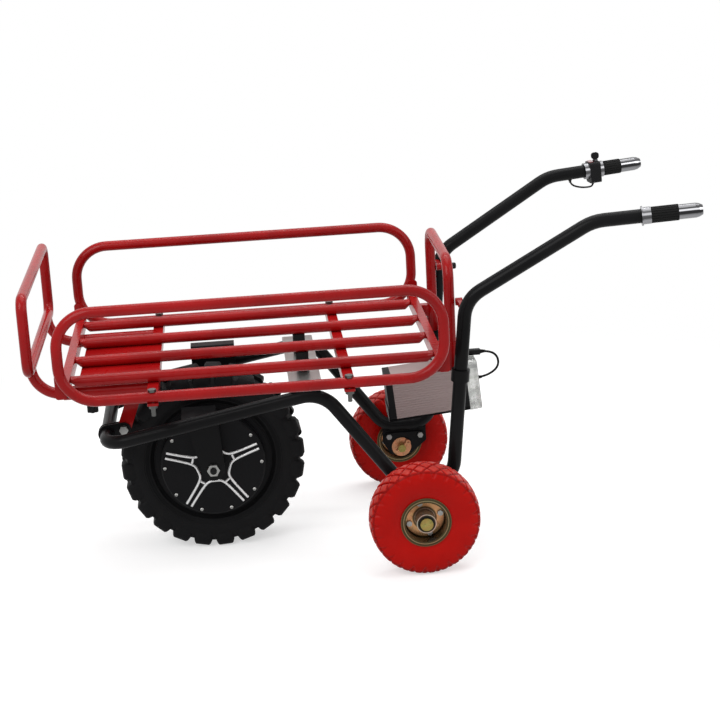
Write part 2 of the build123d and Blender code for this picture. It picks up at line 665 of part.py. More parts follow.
# Rear wheels
rear_y = REAR_TRACK / 2
rear_half = REAR_TYRE_WIDTH / 2
crown_half = rear_half - REAR_SHOULDER
crown_edge_r = REAR_R - REAR_CROWN_DROP
for side, word in ((-1, "left"), (1, "right")):
    rear_axis = Axis((X_REAR, side * rear_y, REAR_R), (0, 1, 0))
    rear_plane = wheel_plane(X_REAR, side * rear_y, REAR_R)

    with BuildPart() as rear_tyre:
        with BuildSketch(rear_plane):
            with BuildLine():
                Polyline(
                    (REAR_FLANGE_Y, REAR_RIM_R),
                    (-REAR_FLANGE_Y, REAR_RIM_R),
                    (-REAR_FLANGE_Y, REAR_FLANGE_R + 3),
                )
                Spline(
                    (-REAR_FLANGE_Y, REAR_FLANGE_R + 3),
                    (-rear_half + 3, REAR_FLANGE_R + 17),
                    (-rear_half, (REAR_R + REAR_FLANGE_R) / 2),
                    (-rear_half + 1.5, REAR_R - 16),
                    (-crown_half, crown_edge_r),
                )
                ThreePointArc((-crown_half, crown_edge_r), (0, REAR_R), (crown_half, crown_edge_r))
                Spline(
                    (crown_half, crown_edge_r),
                    (rear_half - 1.5, REAR_R - 16),
                    (rear_half, (REAR_R + REAR_FLANGE_R) / 2),
                    (rear_half - 3, REAR_FLANGE_R + 17),
                    (REAR_FLANGE_Y, REAR_FLANGE_R + 3),
                )
                Line((REAR_FLANGE_Y, REAR_FLANGE_R + 3), (REAR_FLANGE_Y, REAR_RIM_R))
            make_face()
        revolve(axis=rear_axis)
    rear_tyre.part.label = f"rear_tyre_{word}"
    export_step(rear_tyre.part, f"parts/rear_tyre_{word}.step")

    # two pressed rim halves, back to back
    with BuildPart() as rear_rim:
        for face in (-1, 1):
            with BuildSketch(rear_plane):
                with BuildLine():
                    Polyline(
                        (face * GAP / 2, HUB_D / 2),
                        (face * GAP / 2, REAR_RIM_R),
                        (face * REAR_FLANGE_Y, REAR_RIM_R),
                        (face * REAR_FLANGE_Y, REAR_FLANGE_R),
                        (face * (REAR_FLANGE_Y + RIM_SHEET), REAR_FLANGE_R),
                        (face * (REAR_FLANGE_Y + RIM_SHEET), REAR_RIM_R - RIM_SHEET),
                        (face * RIM_DISH_Y, REAR_RIM_R - RIM_SHEET),
                        (face * RIM_SHEET, REAR_RIM_R - RIM_SHEET - 2),
                        (face * RIM_SHEET, HUB_D / 2),
                        close=True,
                    )
                make_face()
            revolve(axis=rear_axis)
        with BuildSketch(side_plane(X_REAR, side * rear_y + RIM_SHEET, REAR_R)):
            with PolarLocations(RIM_BOLT_PCD / 2, 4, start_angle=RIM_BOLT_TURN):
                Circle(RIM_BOLT_D / 2)
        extrude(amount=2 * RIM_SHEET, mode=Mode.SUBTRACT)
    rear_rim.part.label = f"rear_rim_{word}"
    export_step(rear_rim.part, f"parts/rear_rim_{word}.step")

    with BuildPart() as rim_bolts:
        with BuildSketch(side_plane(X_REAR, side * rear_y + RIM_SHEET, REAR_R)):
            with PolarLocations(RIM_BOLT_PCD / 2, 4, start_angle=RIM_BOLT_TURN):
                Circle(RIM_BOLT_D / 2)
        extrude(amount=2 * RIM_SHEET)
        for face in (-1, 1):
            with BuildSketch(side_plane(X_REAR, side * rear_y + face * RIM_SHEET, REAR_R)):
                with PolarLocations(RIM_BOLT_PCD / 2, 4, start_angle=RIM_BOLT_TURN):
                    RegularPolygon(RIM_BOLT_HEAD_R, 6)
            extrude(amount=-face * RIM_BOLT_HEAD_H)
    rim_bolts.part.label = f"rim_bolts_{word}"
    export_step(rim_bolts.part, f"parts/rim_bolts_{word}.step")

    # hub tube and its two bearings
    with BuildPart() as rear_hub:
        with BuildSketch(side_plane(X_REAR, side * rear_y + HUB_LENGTH / 2, REAR_R)):
            Circle(HUB_D / 2)
            Circle(REAR_BEARING_D / 2, mode=Mode.SUBTRACT)
        extrude(amount=HUB_LENGTH)
    rear_hub.part.label = f"rear_hub_{word}"
    export_step(rear_hub.part, f"parts/rear_hub_{word}.step")

    with BuildPart() as rear_bearings:
        for face in (-1, 1):
            with BuildSketch(side_plane(X_REAR, side * rear_y + face * HUB_LENGTH / 2, REAR_R)):
                Circle(REAR_BEARING_D / 2)
                Circle(REAR_AXLE_D / 2 + RUN_CLEAR, mode=Mode.SUBTRACT)
            extrude(amount=face * REAR_BEARING_WIDTH)
    rear_bearings.part.label = f"rear_bearings_{word}"
    export_step(rear_bearings.part, f"parts/rear_bearings_{word}.step")

# Rear axle brackets: a lug under each foot bend and a plate bolted to it
axle_plate_top = FOOT_Z - AXLE_PLATE_TOP
plate_corner_up = axle_plate_top - REAR_R - AXLE_PLATE_CORNER_R
with BuildPart() as axle_lugs:
    for side in (-1, 1):
        lug_y = side * RAIL_Y + AXLE_PLATE_T / 2
        with BuildSketch(side_plane(X_REAR, lug_y, REAR_R)):
            with BuildLine():
                Polyline(
                    (-AXLE_LUG_FRONT, AXLE_LUG_SHOULDER),
                    (-AXLE_LUG_FRONT, FOOT_Z - REAR_R),
                    (AXLE_LUG_REAR, FOOT_Z - REAR_R),
                    (AXLE_LUG_REAR, AXLE_LUG_SHOULDER),
                    (AXLE_LUG_FOOT_HALF, -AXLE_LUG_FOOT_DROP),
                    (-AXLE_LUG_FOOT_HALF, -AXLE_LUG_FOOT_DROP),
                    close=True,
                )
            make_face()
            Circle(REAR_AXLE_D / 2, mode=Mode.SUBTRACT)
            with Locations((-BRACKET_BOLT_FRONT, BRACKET_BOLT_UP), (BRACKET_BOLT_REAR, BRACKET_BOLT_UP)):
                Circle(BRACKET_BOLT_D / 2, mode=Mode.SUBTRACT)
        extrude(amount=AXLE_PLATE_T)
    for outline_part in outlines:
        add(outline_part, mode=Mode.SUBTRACT)
with BuildPart() as axle_plates:
    for side in (-1, 1):
        plate_y = side * (RAIL_Y - AXLE_PLATE_T) + AXLE_PLATE_T / 2
        with BuildSketch(side_plane(X_REAR, plate_y, REAR_R)):
            with Locations((-BRACKET_BOLT_FRONT, plate_corner_up), (BRACKET_BOLT_REAR, plate_corner_up)):
                Circle(AXLE_PLATE_CORNER_R)
            Circle(AXLE_PLATE_HUB_R)
            make_hull()
            Circle(REAR_AXLE_D / 2, mode=Mode.SUBTRACT)
            with Locations((-BRACKET_BOLT_FRONT, BRACKET_BOLT_UP), (BRACKET_BOLT_REAR, BRACKET_BOLT_UP)):
                Circle(BRACKET_BOLT_D / 2, mode=Mode.SUBTRACT)
        extrude(amount=AXLE_PLATE_T)
bracket_solids = [*axle_lugs.part.solids(), *axle_plates.part.solids()]
axle_brackets = Compound(label="axle_brackets", children=bracket_solids)
export_step(axle_brackets, "parts/axle_brackets.step")

# Rear axle pins, headed outside the wheel and held by a split pin inside
hub_outer_y = rear_y + HUB_LENGTH / 2
hub_inner_y = rear_y - HUB_LENGTH / 2
plate_inner_y = RAIL_Y - 1.5 * AXLE_PLATE_T
axle_tail_y = plate_inner_y - AXLE_WASHER_T - AXLE_TAIL
split_pin_y = plate_inner_y - AXLE_WASHER_T - AXLE_TAIL / 2
split_turn = math.radians(40)
split_dir = (math.cos(split_turn), 0, math.sin(split_turn))
with BuildPart() as axle_pins:
    for side in (-1, 1):
        with BuildSketch(side_plane(X_REAR, side * axle_tail_y, REAR_R)):
            Circle(REAR_AXLE_D / 2)
        extrude(amount=-side * (hub_outer_y + SIDE_CLEAR - axle_tail_y))
        with BuildSketch(side_plane(X_REAR, side * (hub_outer_y + SIDE_CLEAR), REAR_R)):
            Circle(AXLE_HEAD_D / 2)
        extrude(amount=-side * AXLE_HEAD_T)
        with BuildSketch(Plane(origin=(X_REAR, side * split_pin_y, REAR_R), z_dir=split_dir)):
            Circle(SPLIT_PIN_D / 2)
        extrude(amount=REAR_AXLE_D, both=True, mode=Mode.SUBTRACT)
axle_pins.part.label = "axle_pins"
export_step(axle_pins.part, "parts/axle_pins.step")

# Spacers, washers and split pins on the axle pins
with BuildPart() as axle_keepers:
    for side in (-1, 1):
        with BuildSketch(side_plane(X_REAR, side * (RAIL_Y + AXLE_PLATE_T / 2), REAR_R)):
            Circle(AXLE_SPACER_D / 2)
            Circle(REAR_AXLE_D / 2, mode=Mode.SUBTRACT)
        extrude(amount=-side * (hub_inner_y - SIDE_CLEAR - RAIL_Y - AXLE_PLATE_T / 2))
        with BuildSketch(side_plane(X_REAR, side * plate_inner_y, REAR_R)):
            Circle(AXLE_WASHER_D / 2)
            Circle(REAR_AXLE_D / 2, mode=Mode.SUBTRACT)
        extrude(amount=side * AXLE_WASHER_T)
        pin_centre = (X_REAR, side * split_pin_y, REAR_R)
        with BuildSketch(Plane(origin=pin_centre, z_dir=split_dir)):
            Circle(SPLIT_PIN_D / 2)
        extrude(amount=REAR_AXLE_D * 0.9, both=True)
        eye_out = REAR_AXLE_D * 0.9 + 4
        eye = (X_REAR + eye_out * split_dir[0], side * split_pin_y, REAR_R + eye_out * split_dir[2])
        with BuildSketch(side_plane(eye[0], eye[1] + SPLIT_PIN_D * 0.4, eye[2])):
            Circle(6)
            Circle(2.5, mode=Mode.SUBTRACT)
        extrude(amount=SPLIT_PIN_D * 0.8)
axle_keepers.part.label = "axle_keepers"
export_step(axle_keepers.part, "parts/axle_keepers.step")

# Frame bolts: hinge bolts, axle bracket bolts and motor axle nuts
hinge_stack = ear_inner + HINGE_EAR_T
with BuildPart() as frame_bolts:
    for side in (-1, 1):
        low = side * HINGE_LEG_Y - hinge_stack
        high = side * HINGE_LEG_Y + hinge_stack
        with BuildSketch(side_plane(X_HINGE, high + HINGE_NUT_T + 3, HINGE_Z)):
            Circle(HINGE_BOLT_D / 2)
        extrude(amount=2 * hinge_stack + HINGE_NUT_T + 3)
        with BuildSketch(side_plane(X_HINGE, high + HINGE_NUT_T, HINGE_Z)):
            RegularPolygon(HINGE_NUT_AF / 2, 6, major_radius=False)
        extrude(amount=HINGE_NUT_T)
        with BuildSketch(side_plane(X_HINGE, low, HINGE_Z)):
            RegularPolygon(HINGE_NUT_AF / 2, 6, major_radius=False)
        extrude(amount=HINGE_NUT_T)
        for reach in (-BRACKET_BOLT_FRONT, BRACKET_BOLT_REAR):
            bolt_x = X_REAR + reach
            bolt_z = REAR_R + BRACKET_BOLT_UP
            outer = RAIL_Y + AXLE_PLATE_T / 2
            with BuildSketch(side_plane(bolt_x, side * outer, bolt_z)):
                Circle(BRACKET_BOLT_D / 2)
            extrude(amount=side * 2 * AXLE_PLATE_T)
            with BuildSketch(side_plane(bolt_x, side * outer, bolt_z)):
                RegularPolygon(BRACKET_NUT_AF / 2, 6, major_radius=False)
            extrude(amount=-side * BRACKET_NUT_T)
            with BuildSketch(side_plane(bolt_x, side * plate_inner_y, bolt_z)):
                RegularPolygon(BRACKET_NUT_AF / 2, 6, major_radius=False)
            extrude(amount=side * BRACKET_NUT_T)
        with BuildSketch(side_plane(X_DRIVE, side * (DROPOUT_Y + DROPOUT_T), DRIVE_R)):
            RegularPolygon(AXLE_NUT_AF / 2, 6, major_radius=False)
            Circle(MOTOR_AXLE_D / 2, mode=Mode.SUBTRACT)
        extrude(amount=-side * AXLE_NUT_T)
frame_bolts.part.label = "frame_bolts"
export_step(frame_bolts.part, "parts/frame_bolts.step")

# Clamp collars on the uprights
with BuildPart() as clamp_collars:
    for side in (-1, 1):
        with BuildSketch(Plane(origin=upright_at(CARRIER_Z, side), z_dir=upright_direction(side))):
            Circle(CLAMP_D / 2)
            Circle(FRAME_D / 2, mode=Mode.SUBTRACT)
        extrude(amount=CLAMP_H / 2, both=True)
clamp_collars.part.label = "clamp_collars"
export_step(clamp_collars.part, "parts/clamp_collars.step")

# Battery places: local x along the case, local y upwards, normal towards -Y
tilt = math.radians(BATTERY_TILT)
along = (math.cos(tilt), 0, math.sin(tilt))


def battery_end(run):
    # plane across the case, local x along +Y, local y up the case, normal along the case
    origin = (
        X_REAR - BATTERY_REACH + run * math.cos(tilt),
        0,
        BATTERY_Z + run * math.sin(tilt),
    )
    return Plane(origin=origin, x_dir=(0, 1, 0), z_dir=along)


def battery_side(y):
    origin = (X_REAR - BATTERY_REACH, y, BATTERY_Z)
    return Plane(origin=origin, x_dir=along, z_dir=(0, -1, 0))


# Battery case, a ribbed extrusion
with BuildPart() as battery_case:
    with BuildSketch(battery_end(0)):
        with Locations((0, BATTERY_H / 2)):
            RectangleRounded(BATTERY_WIDTH, BATTERY_H, 6)
            Rectangle(BATTERY_WIDTH - 2 * BATTERY_WALL, BATTERY_H - 2 * BATTERY_WALL, mode=Mode.SUBTRACT)
            for side in (-1, 1):
                with Locations((side * BATTERY_WIDTH / 2, 0)):
                    with GridLocations(0, RIB_PITCH, 1, RIB_COUNT):
                        Rectangle(2 * RIB_DEPTH, RIB_W, mode=Mode.SUBTRACT)
    extrude(amount=BATTERY_LENGTH)
battery_case.part.label = "battery_case"
export_step(battery_case.part, "parts/battery_case.step")

# Battery end caps
with BuildPart() as battery_caps:
    with BuildSketch(battery_end(0)):
        with Locations((0, BATTERY_H / 2)):
            RectangleRounded(BATTERY_WIDTH, BATTERY_H, 6)
    extrude(amount=-FRONT_CAP_T)
    with BuildSketch(battery_end(BATTERY_LENGTH)):
        with Locations((0, BATTERY_H / 2)):
            RectangleRounded(BATTERY_WIDTH, BATTERY_H, 6)
    extrude(amount=REAR_CAP_T)
battery_caps.part.label = "battery_caps"
export_step(battery_caps.part, "parts/battery_caps.step")

# Battery cells inside the case, standing on its floor
cell_stack_z = BATTERY_WALL + CELL_D / 2 + CELL_PITCH * (CELL_ROWS - 1) / 2
with BuildPart() as battery_cells:
    with BuildSketch(battery_side(CELL_LENGTH / 2)):
        with Locations((BATTERY_LENGTH / 2, cell_stack_z)):
            with GridLocations(CELL_PITCH, CELL_PITCH, CELL_COLUMNS, CELL_ROWS):
                Circle(CELL_D / 2)
    extrude(amount=CELL_LENGTH)
battery_cells.part.label = "battery_cells"
export_step(battery_cells.part, "parts/battery_cells.step")

# Battery tray hung from the carrier bar between the clamp collars
tray_front = -FRONT_CAP_T - TRAY_T
tray_rear = BATTERY_LENGTH + REAR_CAP_T + TRAY_T
carrier_x = upright_at(CARRIER_Z, 1)[0] + CARRIER_BACK
lip_z = CARRIER_Z + CARRIER_H / 4
tray_top = BATTERY_H + COVER_RISE + 1 + TRAY_T
with BuildPart() as battery_tray:
    with BuildSketch(battery_side(BATTERY_WIDTH / 2)):
        with Locations(((tray_front + tray_rear) / 2, -TRAY_T / 2)):
            Rectangle(tray_rear - tray_front, TRAY_T)
        with Locations((tray_front + TRAY_T / 2, TRAY_LIP / 2)):
            Rectangle(TRAY_T, TRAY_LIP + 2 * TRAY_T)
        with Locations((tray_rear - TRAY_T / 2, (tray_top - TRAY_T) / 2)):
            Rectangle(TRAY_T, tray_top + TRAY_T)
    extrude(amount=BATTERY_WIDTH)
    post_x = X_REAR - BATTERY_REACH + (tray_rear - TRAY_T) * math.cos(tilt) - tray_top * math.sin(tilt)
    post_z = BATTERY_Z + (tray_rear - TRAY_T) * math.sin(tilt) + tray_top * math.cos(tilt)
    with BuildSketch(Plane(origin=(post_x + TRAY_T / 2, 0, post_z - TRAY_T))):
        Rectangle(TRAY_T, BATTERY_WIDTH / 2)
    extrude(amount=lip_z + TRAY_T - post_z + TRAY_T)
    with BuildSketch(Plane(origin=((carrier_x + post_x + TRAY_T) / 2, 0, lip_z))):
        Rectangle(post_x + TRAY_T - carrier_x, BATTERY_WIDTH / 2)
    extrude(amount=TRAY_T)
    with BuildSketch(Plane(origin=(carrier_x, 0, CARRIER_Z - CARRIER_H / 2))):
        Rectangle(CARRIER_T, 2 * upright_at(CARRIER_Z, 1)[1])
    extrude(amount=CARRIER_H)
    for side in (-1, 1):
        with BuildSketch(Plane(origin=upright_at(CARRIER_Z, side), z_dir=upright_direction(side))):
            Circle(CLAMP_D / 2)
        extrude(amount=CARRIER_H, both=True, mode=Mode.SUBTRACT)
battery_tray.part.label = "battery_tray"
export_step(battery_tray.part, "parts/battery_tray.step")

# Clear cover behind the tray's rear plate
with BuildPart() as terminal_cover:
    with BuildSketch(battery_end(tray_rear)):
        with Locations((0, BATTERY_H / 2)):
            RectangleRounded(BATTERY_WIDTH, BATTERY_H + 2 * COVER_RISE, 10)
    extrude(amount=COVER_DEPTH)
    fillet(terminal_cover.faces().filter_by(GeomType.PLANE).sort_by(Axis.X)[-1].edges(), 5)
    with BuildSketch(battery_end(tray_rear)):
        with Locations((0, BATTERY_H / 2)):
            RectangleRounded(BATTERY_WIDTH - 2 * COVER_WALL, BATTERY_H + 2 * COVER_RISE - 2 * COVER_WALL, 8)
    extrude(amount=COVER_DEPTH - COVER_WALL, mode=Mode.SUBTRACT)
terminal_cover.part.label = "terminal_cover"
export_step(terminal_cover.part, "parts/terminal_cover.step")

# Connector on the tray's rear post, above the clear cover
cover_run = tray_rear + COVER_DEPTH
connector_front = post_x + TRAY_T
connector_z = post_z + SIDE_CLEAR
connector_rear = connector_front + CONNECTOR_LENGTH
with BuildPart() as battery_connector:
    with BuildSketch(Plane(origin=((connector_front + connector_rear) / 2, 0, connector_z))):
        Rectangle(CONNECTOR_LENGTH, CONNECTOR_WIDTH)
    extrude(amount=CONNECTOR_H)
    fillet(battery_connector.edges().filter_by(Axis.X), 4)
battery_connector.part.label = "battery_connector"
export_step(battery_connector.part, "parts/battery_connector.step")

# Power cable from the connector round to the clear cover
cable_top = connector_z + CONNECTOR_H / 2
cable_low_h = BATTERY_H * 0.55
cable_low_x = X_REAR - BATTERY_REACH + cover_run * math.cos(tilt) - cable_low_h * math.sin(tilt)
cable_low_z = BATTERY_Z + cover_run * math.sin(tilt) + cable_low_h * math.cos(tilt)
cable_back = connector_rear + 45
POWER_CABLE_POINTS = [
    (connector_rear, 0, cable_top),
    (cable_back - 20, 0, cable_top),
    (cable_back, 0, cable_top - 16),
    (cable_back, 0, cable_low_z + 22),
    (cable_low_x + 24 * math.cos(tilt), 0, cable_low_z + 24 * math.sin(tilt)),
    (cable_low_x, 0, cable_low_z),
]
THROTTLE_CABLE_PLACES = [
    (housing_mid + 4, -HOUSING_DOWN),
    (housing_mid + 4, -HOUSING_DOWN - 8),
    (housing_mid + 14, -HOUSING_DOWN - 12),
    (housing_mid + 40, -HOUSING_DOWN - 9),
    (housing_mid + 64, -HOUSING_DOWN + 2),
    (housing_mid + 64, -FRAME_D / 2),
]


def handle_point(side, back, up):
    place = handle_plane(side, back)
    return place.origin + place.y_dir * up


THROTTLE_CABLE_POINTS = [handle_point(1, back, up) for back, up in THROTTLE_CABLE_PLACES]


def cord_radii(points):
    radii = []
    for before, here, after in zip(points, points[1:], points[2:]):
        run_in = Vector(here) - Vector(before)
        run_out = Vector(after) - Vector(here)
        half_turn = math.radians(run_in.get_angle(run_out)) / 2
        radii.append(0.45 * min(run_in.length, run_out.length) / math.tan(half_turn))
    return radii


for points, diameter, label in (
    (POWER_CABLE_POINTS, POWER_CABLE_D, "power_cable"),
    (THROTTLE_CABLE_POINTS, THROTTLE_CABLE_D, "throttle_cable"),
):
    radii = cord_radii(points)
    print(label, "radii", [round(r, 1) for r in radii], "diameter", diameter)
    with BuildPart() as cord:
        with BuildLine():
            FilletPolyline(*points, radius=radii)
        with BuildSketch(Plane(origin=points[0], z_dir=Vector(points[1]) - Vector(points[0]))):
            Circle(diameter / 2)
        sweep()
    cord.part.label = label
    export_step(cord.part, f"parts/{label}.step")

# Controller case on the inner side of the right rail, with its board
controller_y = RAIL_Y - FRAME_D / 2 - CONTROLLER_DEPTH / 2
controller_x = X_REAR - CONTROLLER_REACH
controller_z = dropout_rail_z + DROPOUT_T / 2
controller_front = (controller_x - CONTROLLER_LENGTH / 2, controller_y, controller_z + CONTROLLER_H / 2)
controller_face = Plane(origin=controller_front, x_dir=(0, 1, 0), z_dir=(1, 0, 0))
with BuildPart() as controller_case:
    with BuildSketch(Plane(origin=(controller_x, controller_y, controller_z))):
        Rectangle(CONTROLLER_LENGTH, CONTROLLER_DEPTH)
    extrude(amount=CONTROLLER_H)
    fillet(controller_case.edges().filter_by(Axis.X), 4)
    with BuildSketch(controller_face):
        Rectangle(CONTROLLER_DEPTH - 2 * CONTROLLER_WALL, CONTROLLER_H - 2 * CONTROLLER_WALL)
    extrude(amount=CONTROLLER_LENGTH - CONTROLLER_WALL, mode=Mode.SUBTRACT)
    with BuildSketch(controller_face):
        Rectangle(CONTROLLER_DEPTH - 2 * CONTROLLER_WALL, CONTROLLER_H - 2 * CONTROLLER_WALL)
        with Locations((0, 14), (0, -14)):
            Circle(6, mode=Mode.SUBTRACT)
    extrude(amount=CONTROLLER_WALL)
controller_case.part.label = "controller_case"
export_step(controller_case.part, "parts/controller_case.step")

with BuildPart() as controller_board:
    with BuildSketch(Plane(origin=(controller_x, controller_y, controller_z + CONTROLLER_WALL))):
        Rectangle(CONTROLLER_LENGTH - 4 * CONTROLLER_WALL, 2)
    extrude(amount=CONTROLLER_H - 6 * CONTROLLER_WALL)
    with BuildSketch(Plane(origin=(controller_x, controller_y - 7, controller_z + 20))):
        with GridLocations(28, 0, 3, 1):
            Rectangle(18, 14)
    extrude(amount=20)
controller_board.part.label = "controller_board"
export_step(controller_board.part, "parts/controller_board.step")

# Left rubber grip
grip_back = END_CAP_COVER + GRIP_LENGTH
with BuildPart() as grip_left:
    with BuildSketch(handle_plane(-1, grip_back)):
        Circle(GRIP_D / 2)
        Circle(FRAME_D / 2, mode=Mode.SUBTRACT)
        with PolarLocations(GRIP_D / 2, 20):
            Circle(1.2, mode=Mode.SUBTRACT)
    extrude(amount=GRIP_LENGTH)
grip_left.part.label = "grip_left"
export_step(grip_left.part, "parts/grip_left.step")

# Bright trim on the handles: a flanged collar, two housing clamps and two end caps
collar_back = grip_back + COLLAR_LENGTH
clamp_back = housing_back + HOUSING_CLAMP_BACK
with BuildPart() as grip_trim:
    for side, back, length, diameter in (
        (-1, collar_back, COLLAR_LENGTH, COLLAR_D),
        (-1, collar_back, COLLAR_FLANGE_T, COLLAR_FLANGE_D),
        (1, housing_front, HOUSING_CLAMP_FRONT, HOUSING_CLAMP_D),
        (1, clamp_back, HOUSING_CLAMP_BACK, HOUSING_CLAMP_D),
    ):
        with BuildSketch(handle_plane(side, back)):
            Circle(diameter / 2)
            Circle(FRAME_D / 2, mode=Mode.SUBTRACT)
        extrude(amount=length)
    for side in (-1, 1):
        end = handle_plane(side, 0)
        with BuildSketch(Plane(origin=end.origin, x_dir=end.z_dir, z_dir=end.x_dir)):
            with BuildLine():
                Polyline(
                    (-END_CAP_COVER, FRAME_D / 2),
                    (-END_CAP_COVER, END_CAP_D / 2),
                    (2, END_CAP_D / 2),
                    (END_CAP_SHOULDER, END_CAP_SHOULDER_D / 2),
                    (END_CAP_NOSE, END_CAP_TIP_D / 2),
                    (END_CAP_NOSE, 0),
                    (0, 0),
                    (0, FRAME_D / 2),
                    close=True,
                )
            make_face()
        revolve(axis=Axis(end.origin, end.z_dir))
grip_trim.part.label = "grip_trim"
export_step(grip_trim.part, "parts/grip_trim.step")

# Twist grip that turns on the right handle
with BuildPart() as twist_grip:
    with BuildSketch(handle_plane(1, twist_back)):
        Circle(GRIP_D / 2)
        Circle(FRAME_D / 2 + SLIDE_CLEAR, mode=Mode.SUBTRACT)
        with PolarLocations(GRIP_D / 2, 20):
            Circle(1.2, mode=Mode.SUBTRACT)
    extrude(amount=TWIST_LENGTH)
twist_grip.part.label = "twist_grip"
export_step(twist_grip.part, "parts/twist_grip.step")

# Throttle housing with the key switch on top
key_back = housing_mid - HOUSING_LENGTH / 4
lens_back = housing_mid + HOUSING_LENGTH / 4
key_seat = handle_point(1, key_back, HOUSING_UP)
up = handle_plane(1, key_back).y_dir
across = handle_plane(1, key_back).x_dir
with BuildPart() as throttle_housing:
    with BuildSketch(handle_plane(1, housing_back)):
        with Locations((0, (HOUSING_UP - HOUSING_DOWN) / 2)):
            RectangleRounded(HOUSING_WIDTH, HOUSING_UP + HOUSING_DOWN, 7)
        Circle(FRAME_D / 2, mode=Mode.SUBTRACT)
    extrude(amount=HOUSING_LENGTH)
    with BuildSketch(Plane(origin=key_seat, x_dir=across, z_dir=up)):
        Circle(KEY_SHANK_D / 2 + RUN_CLEAR)
    extrude(amount=-(HOUSING_UP - FRAME_D / 2), mode=Mode.SUBTRACT)
throttle_housing.part.label = "throttle_housing"
export_step(throttle_housing.part, "parts/throttle_housing.step")

# Indicator lens on the housing
with BuildPart() as indicator_lens:
    with BuildSketch(Plane(origin=handle_point(1, lens_back, HOUSING_UP), x_dir=across, z_dir=up)):
        RectangleRounded(LENS_WIDTH, LENS_LENGTH, 3)
    extrude(amount=LENS_HEIGHT)
indicator_lens.part.label = "indicator_lens"
export_step(indicator_lens.part, "parts/indicator_lens.step")

# Key barrel and key
with BuildPart() as key_barrel:
    with BuildSketch(Plane(origin=key_seat, x_dir=across, z_dir=up)):
        Circle(KEY_BARREL_D / 2)
        Circle(KEY_SHANK_D / 2 + RUN_CLEAR, mode=Mode.SUBTRACT)
    extrude(amount=KEY_BARREL_H)
key_barrel.part.label = "key_barrel"
export_step(key_barrel.part, "parts/key_barrel.step")

key_top = KEY_BARREL_H + GAP
key_mid = key_seat + up * (key_top + KEY_HEAD_HEIGHT / 2)
with BuildPart() as key:
    with BuildSketch(Plane(origin=key_seat + up * (key_top + KEY_SHANK_GRIP), x_dir=across, z_dir=up)):
        Circle(KEY_SHANK_D / 2)
    extrude(amount=-KEY_SHANK_GRIP - KEY_SHANK_DEPTH)
    with BuildSketch(Plane(origin=key_mid, x_dir=up, z_dir=across)):
        RectangleRounded(KEY_HEAD_HEIGHT, KEY_HEAD_WIDTH, KEY_HEAD_R)
    extrude(amount=KEY_HEAD_THICK / 2, both=True)
key.part.label = "key"
export_step(key.part, "parts/key.step")

# Latch brackets welded to the uprights: a stop on the left, the pin's guide on the right
latch_mid = (latch_front + latch_rear) / 2
latch_lug_run = upright_at(LATCH_Z, 1)[1] - BACK_FENCE_HALF
with BuildPart() as latch_brackets:
    for side in (-1, 1):
        with BuildSketch(Plane(origin=(latch_front, side * BACK_FENCE_HALF, LATCH_Z), z_dir=(1, 0, 0))):
            Circle(LATCH_TUBE_D / 2)
        extrude(amount=LATCH_TUBE_LENGTH)
        with BuildSketch(Plane(origin=(latch_mid, side * (BACK_FENCE_HALF + latch_lug_run / 2), LATCH_Z))):
            Rectangle(LATCH_LUG_W, latch_lug_run)
        extrude(amount=LATCH_LUG_H / 2, both=True)
    for outline_part in outlines:
        add(outline_part, mode=Mode.SUBTRACT)
    with BuildSketch(Plane(origin=(latch_front, BACK_FENCE_HALF, LATCH_Z), z_dir=(1, 0, 0))):
        Circle(LATCH_PIN_D / 2 + RUN_CLEAR)
    extrude(amount=LATCH_TUBE_LENGTH, mode=Mode.SUBTRACT)
latch_brackets.part.label = "latch_brackets"
export_step(latch_brackets.part, "parts/latch_brackets.step")

# Latch pin and its knob, shown drawn back
latch_knob_front = latch_rear + LATCH_STROKE + GAP
with BuildPart() as latch_pin:
    with BuildSketch(Plane(origin=(latch_front + SIDE_CLEAR, BACK_FENCE_HALF, LATCH_Z), z_dir=(1, 0, 0))):
        Circle(LATCH_PIN_D / 2)
    extrude(amount=latch_knob_front - latch_front - SIDE_CLEAR)
    with BuildSketch(Plane(origin=(latch_knob_front, BACK_FENCE_HALF, LATCH_Z), z_dir=(1, 0, 0))):
        Circle(LATCH_KNOB_D / 2)
    extrude(amount=LATCH_KNOB_LENGTH)
    fillet(latch_pin.faces().sort_by(Axis.X)[-1].edges(), 4)
latch_pin.part.label = "latch_pin"
export_step(latch_pin.part, "parts/latch_pin.step")

# Bed slats with pinched ends
slat_front = X_BED_FRONT + END_TUBE_W / 2
slat_rear = X_BED_REAR - END_TUBE_W / 2
slat_top = SLAT_Z + SLAT_D / 2
slat_span = SLAT_PITCH * (SLAT_COUNT - 1)
with BuildPart() as bed_slats:
    with BuildSketch(Plane(origin=(slat_front, 0, SLAT_Z), x_dir=(0, 1, 0), z_dir=(1, 0, 0))):
        with GridLocations(SLAT_PITCH, 0, SLAT_COUNT, 1):
            Circle(SLAT_D / 2)
            Circle(SLAT_D / 2 - SLAT_WALL, mode=Mode.SUBTRACT)
    extrude(amount=slat_rear - slat_front)
    with BuildSketch(side_plane(0, slat_span / 2 + SLAT_D, 0)):
        for end_x, toward in ((slat_front, 1), (slat_rear, -1)):
            with BuildLine():
                Polyline(
                    (end_x, slat_top - TONGUE_T),
                    (end_x + toward * SLAT_TAPER, slat_bottom),
                    (end_x, slat_bottom),
                    close=True,
                )
            make_face()
    extrude(amount=slat_span + 2 * SLAT_D, mode=Mode.SUBTRACT)
    for end_x, toward in ((slat_front, 1), (slat_rear, -1)):
        with BuildSketch(Plane(origin=(end_x + toward * SLAT_TAPER / 2, 0, slat_top - TONGUE_T))):
            with GridLocations(0, SLAT_PITCH, 1, SLAT_COUNT):
                Rectangle(SLAT_TAPER, SLAT_D - 3)
        extrude(amount=TONGUE_T - 0.5)
bed_slats.part.label = "bed_slats"
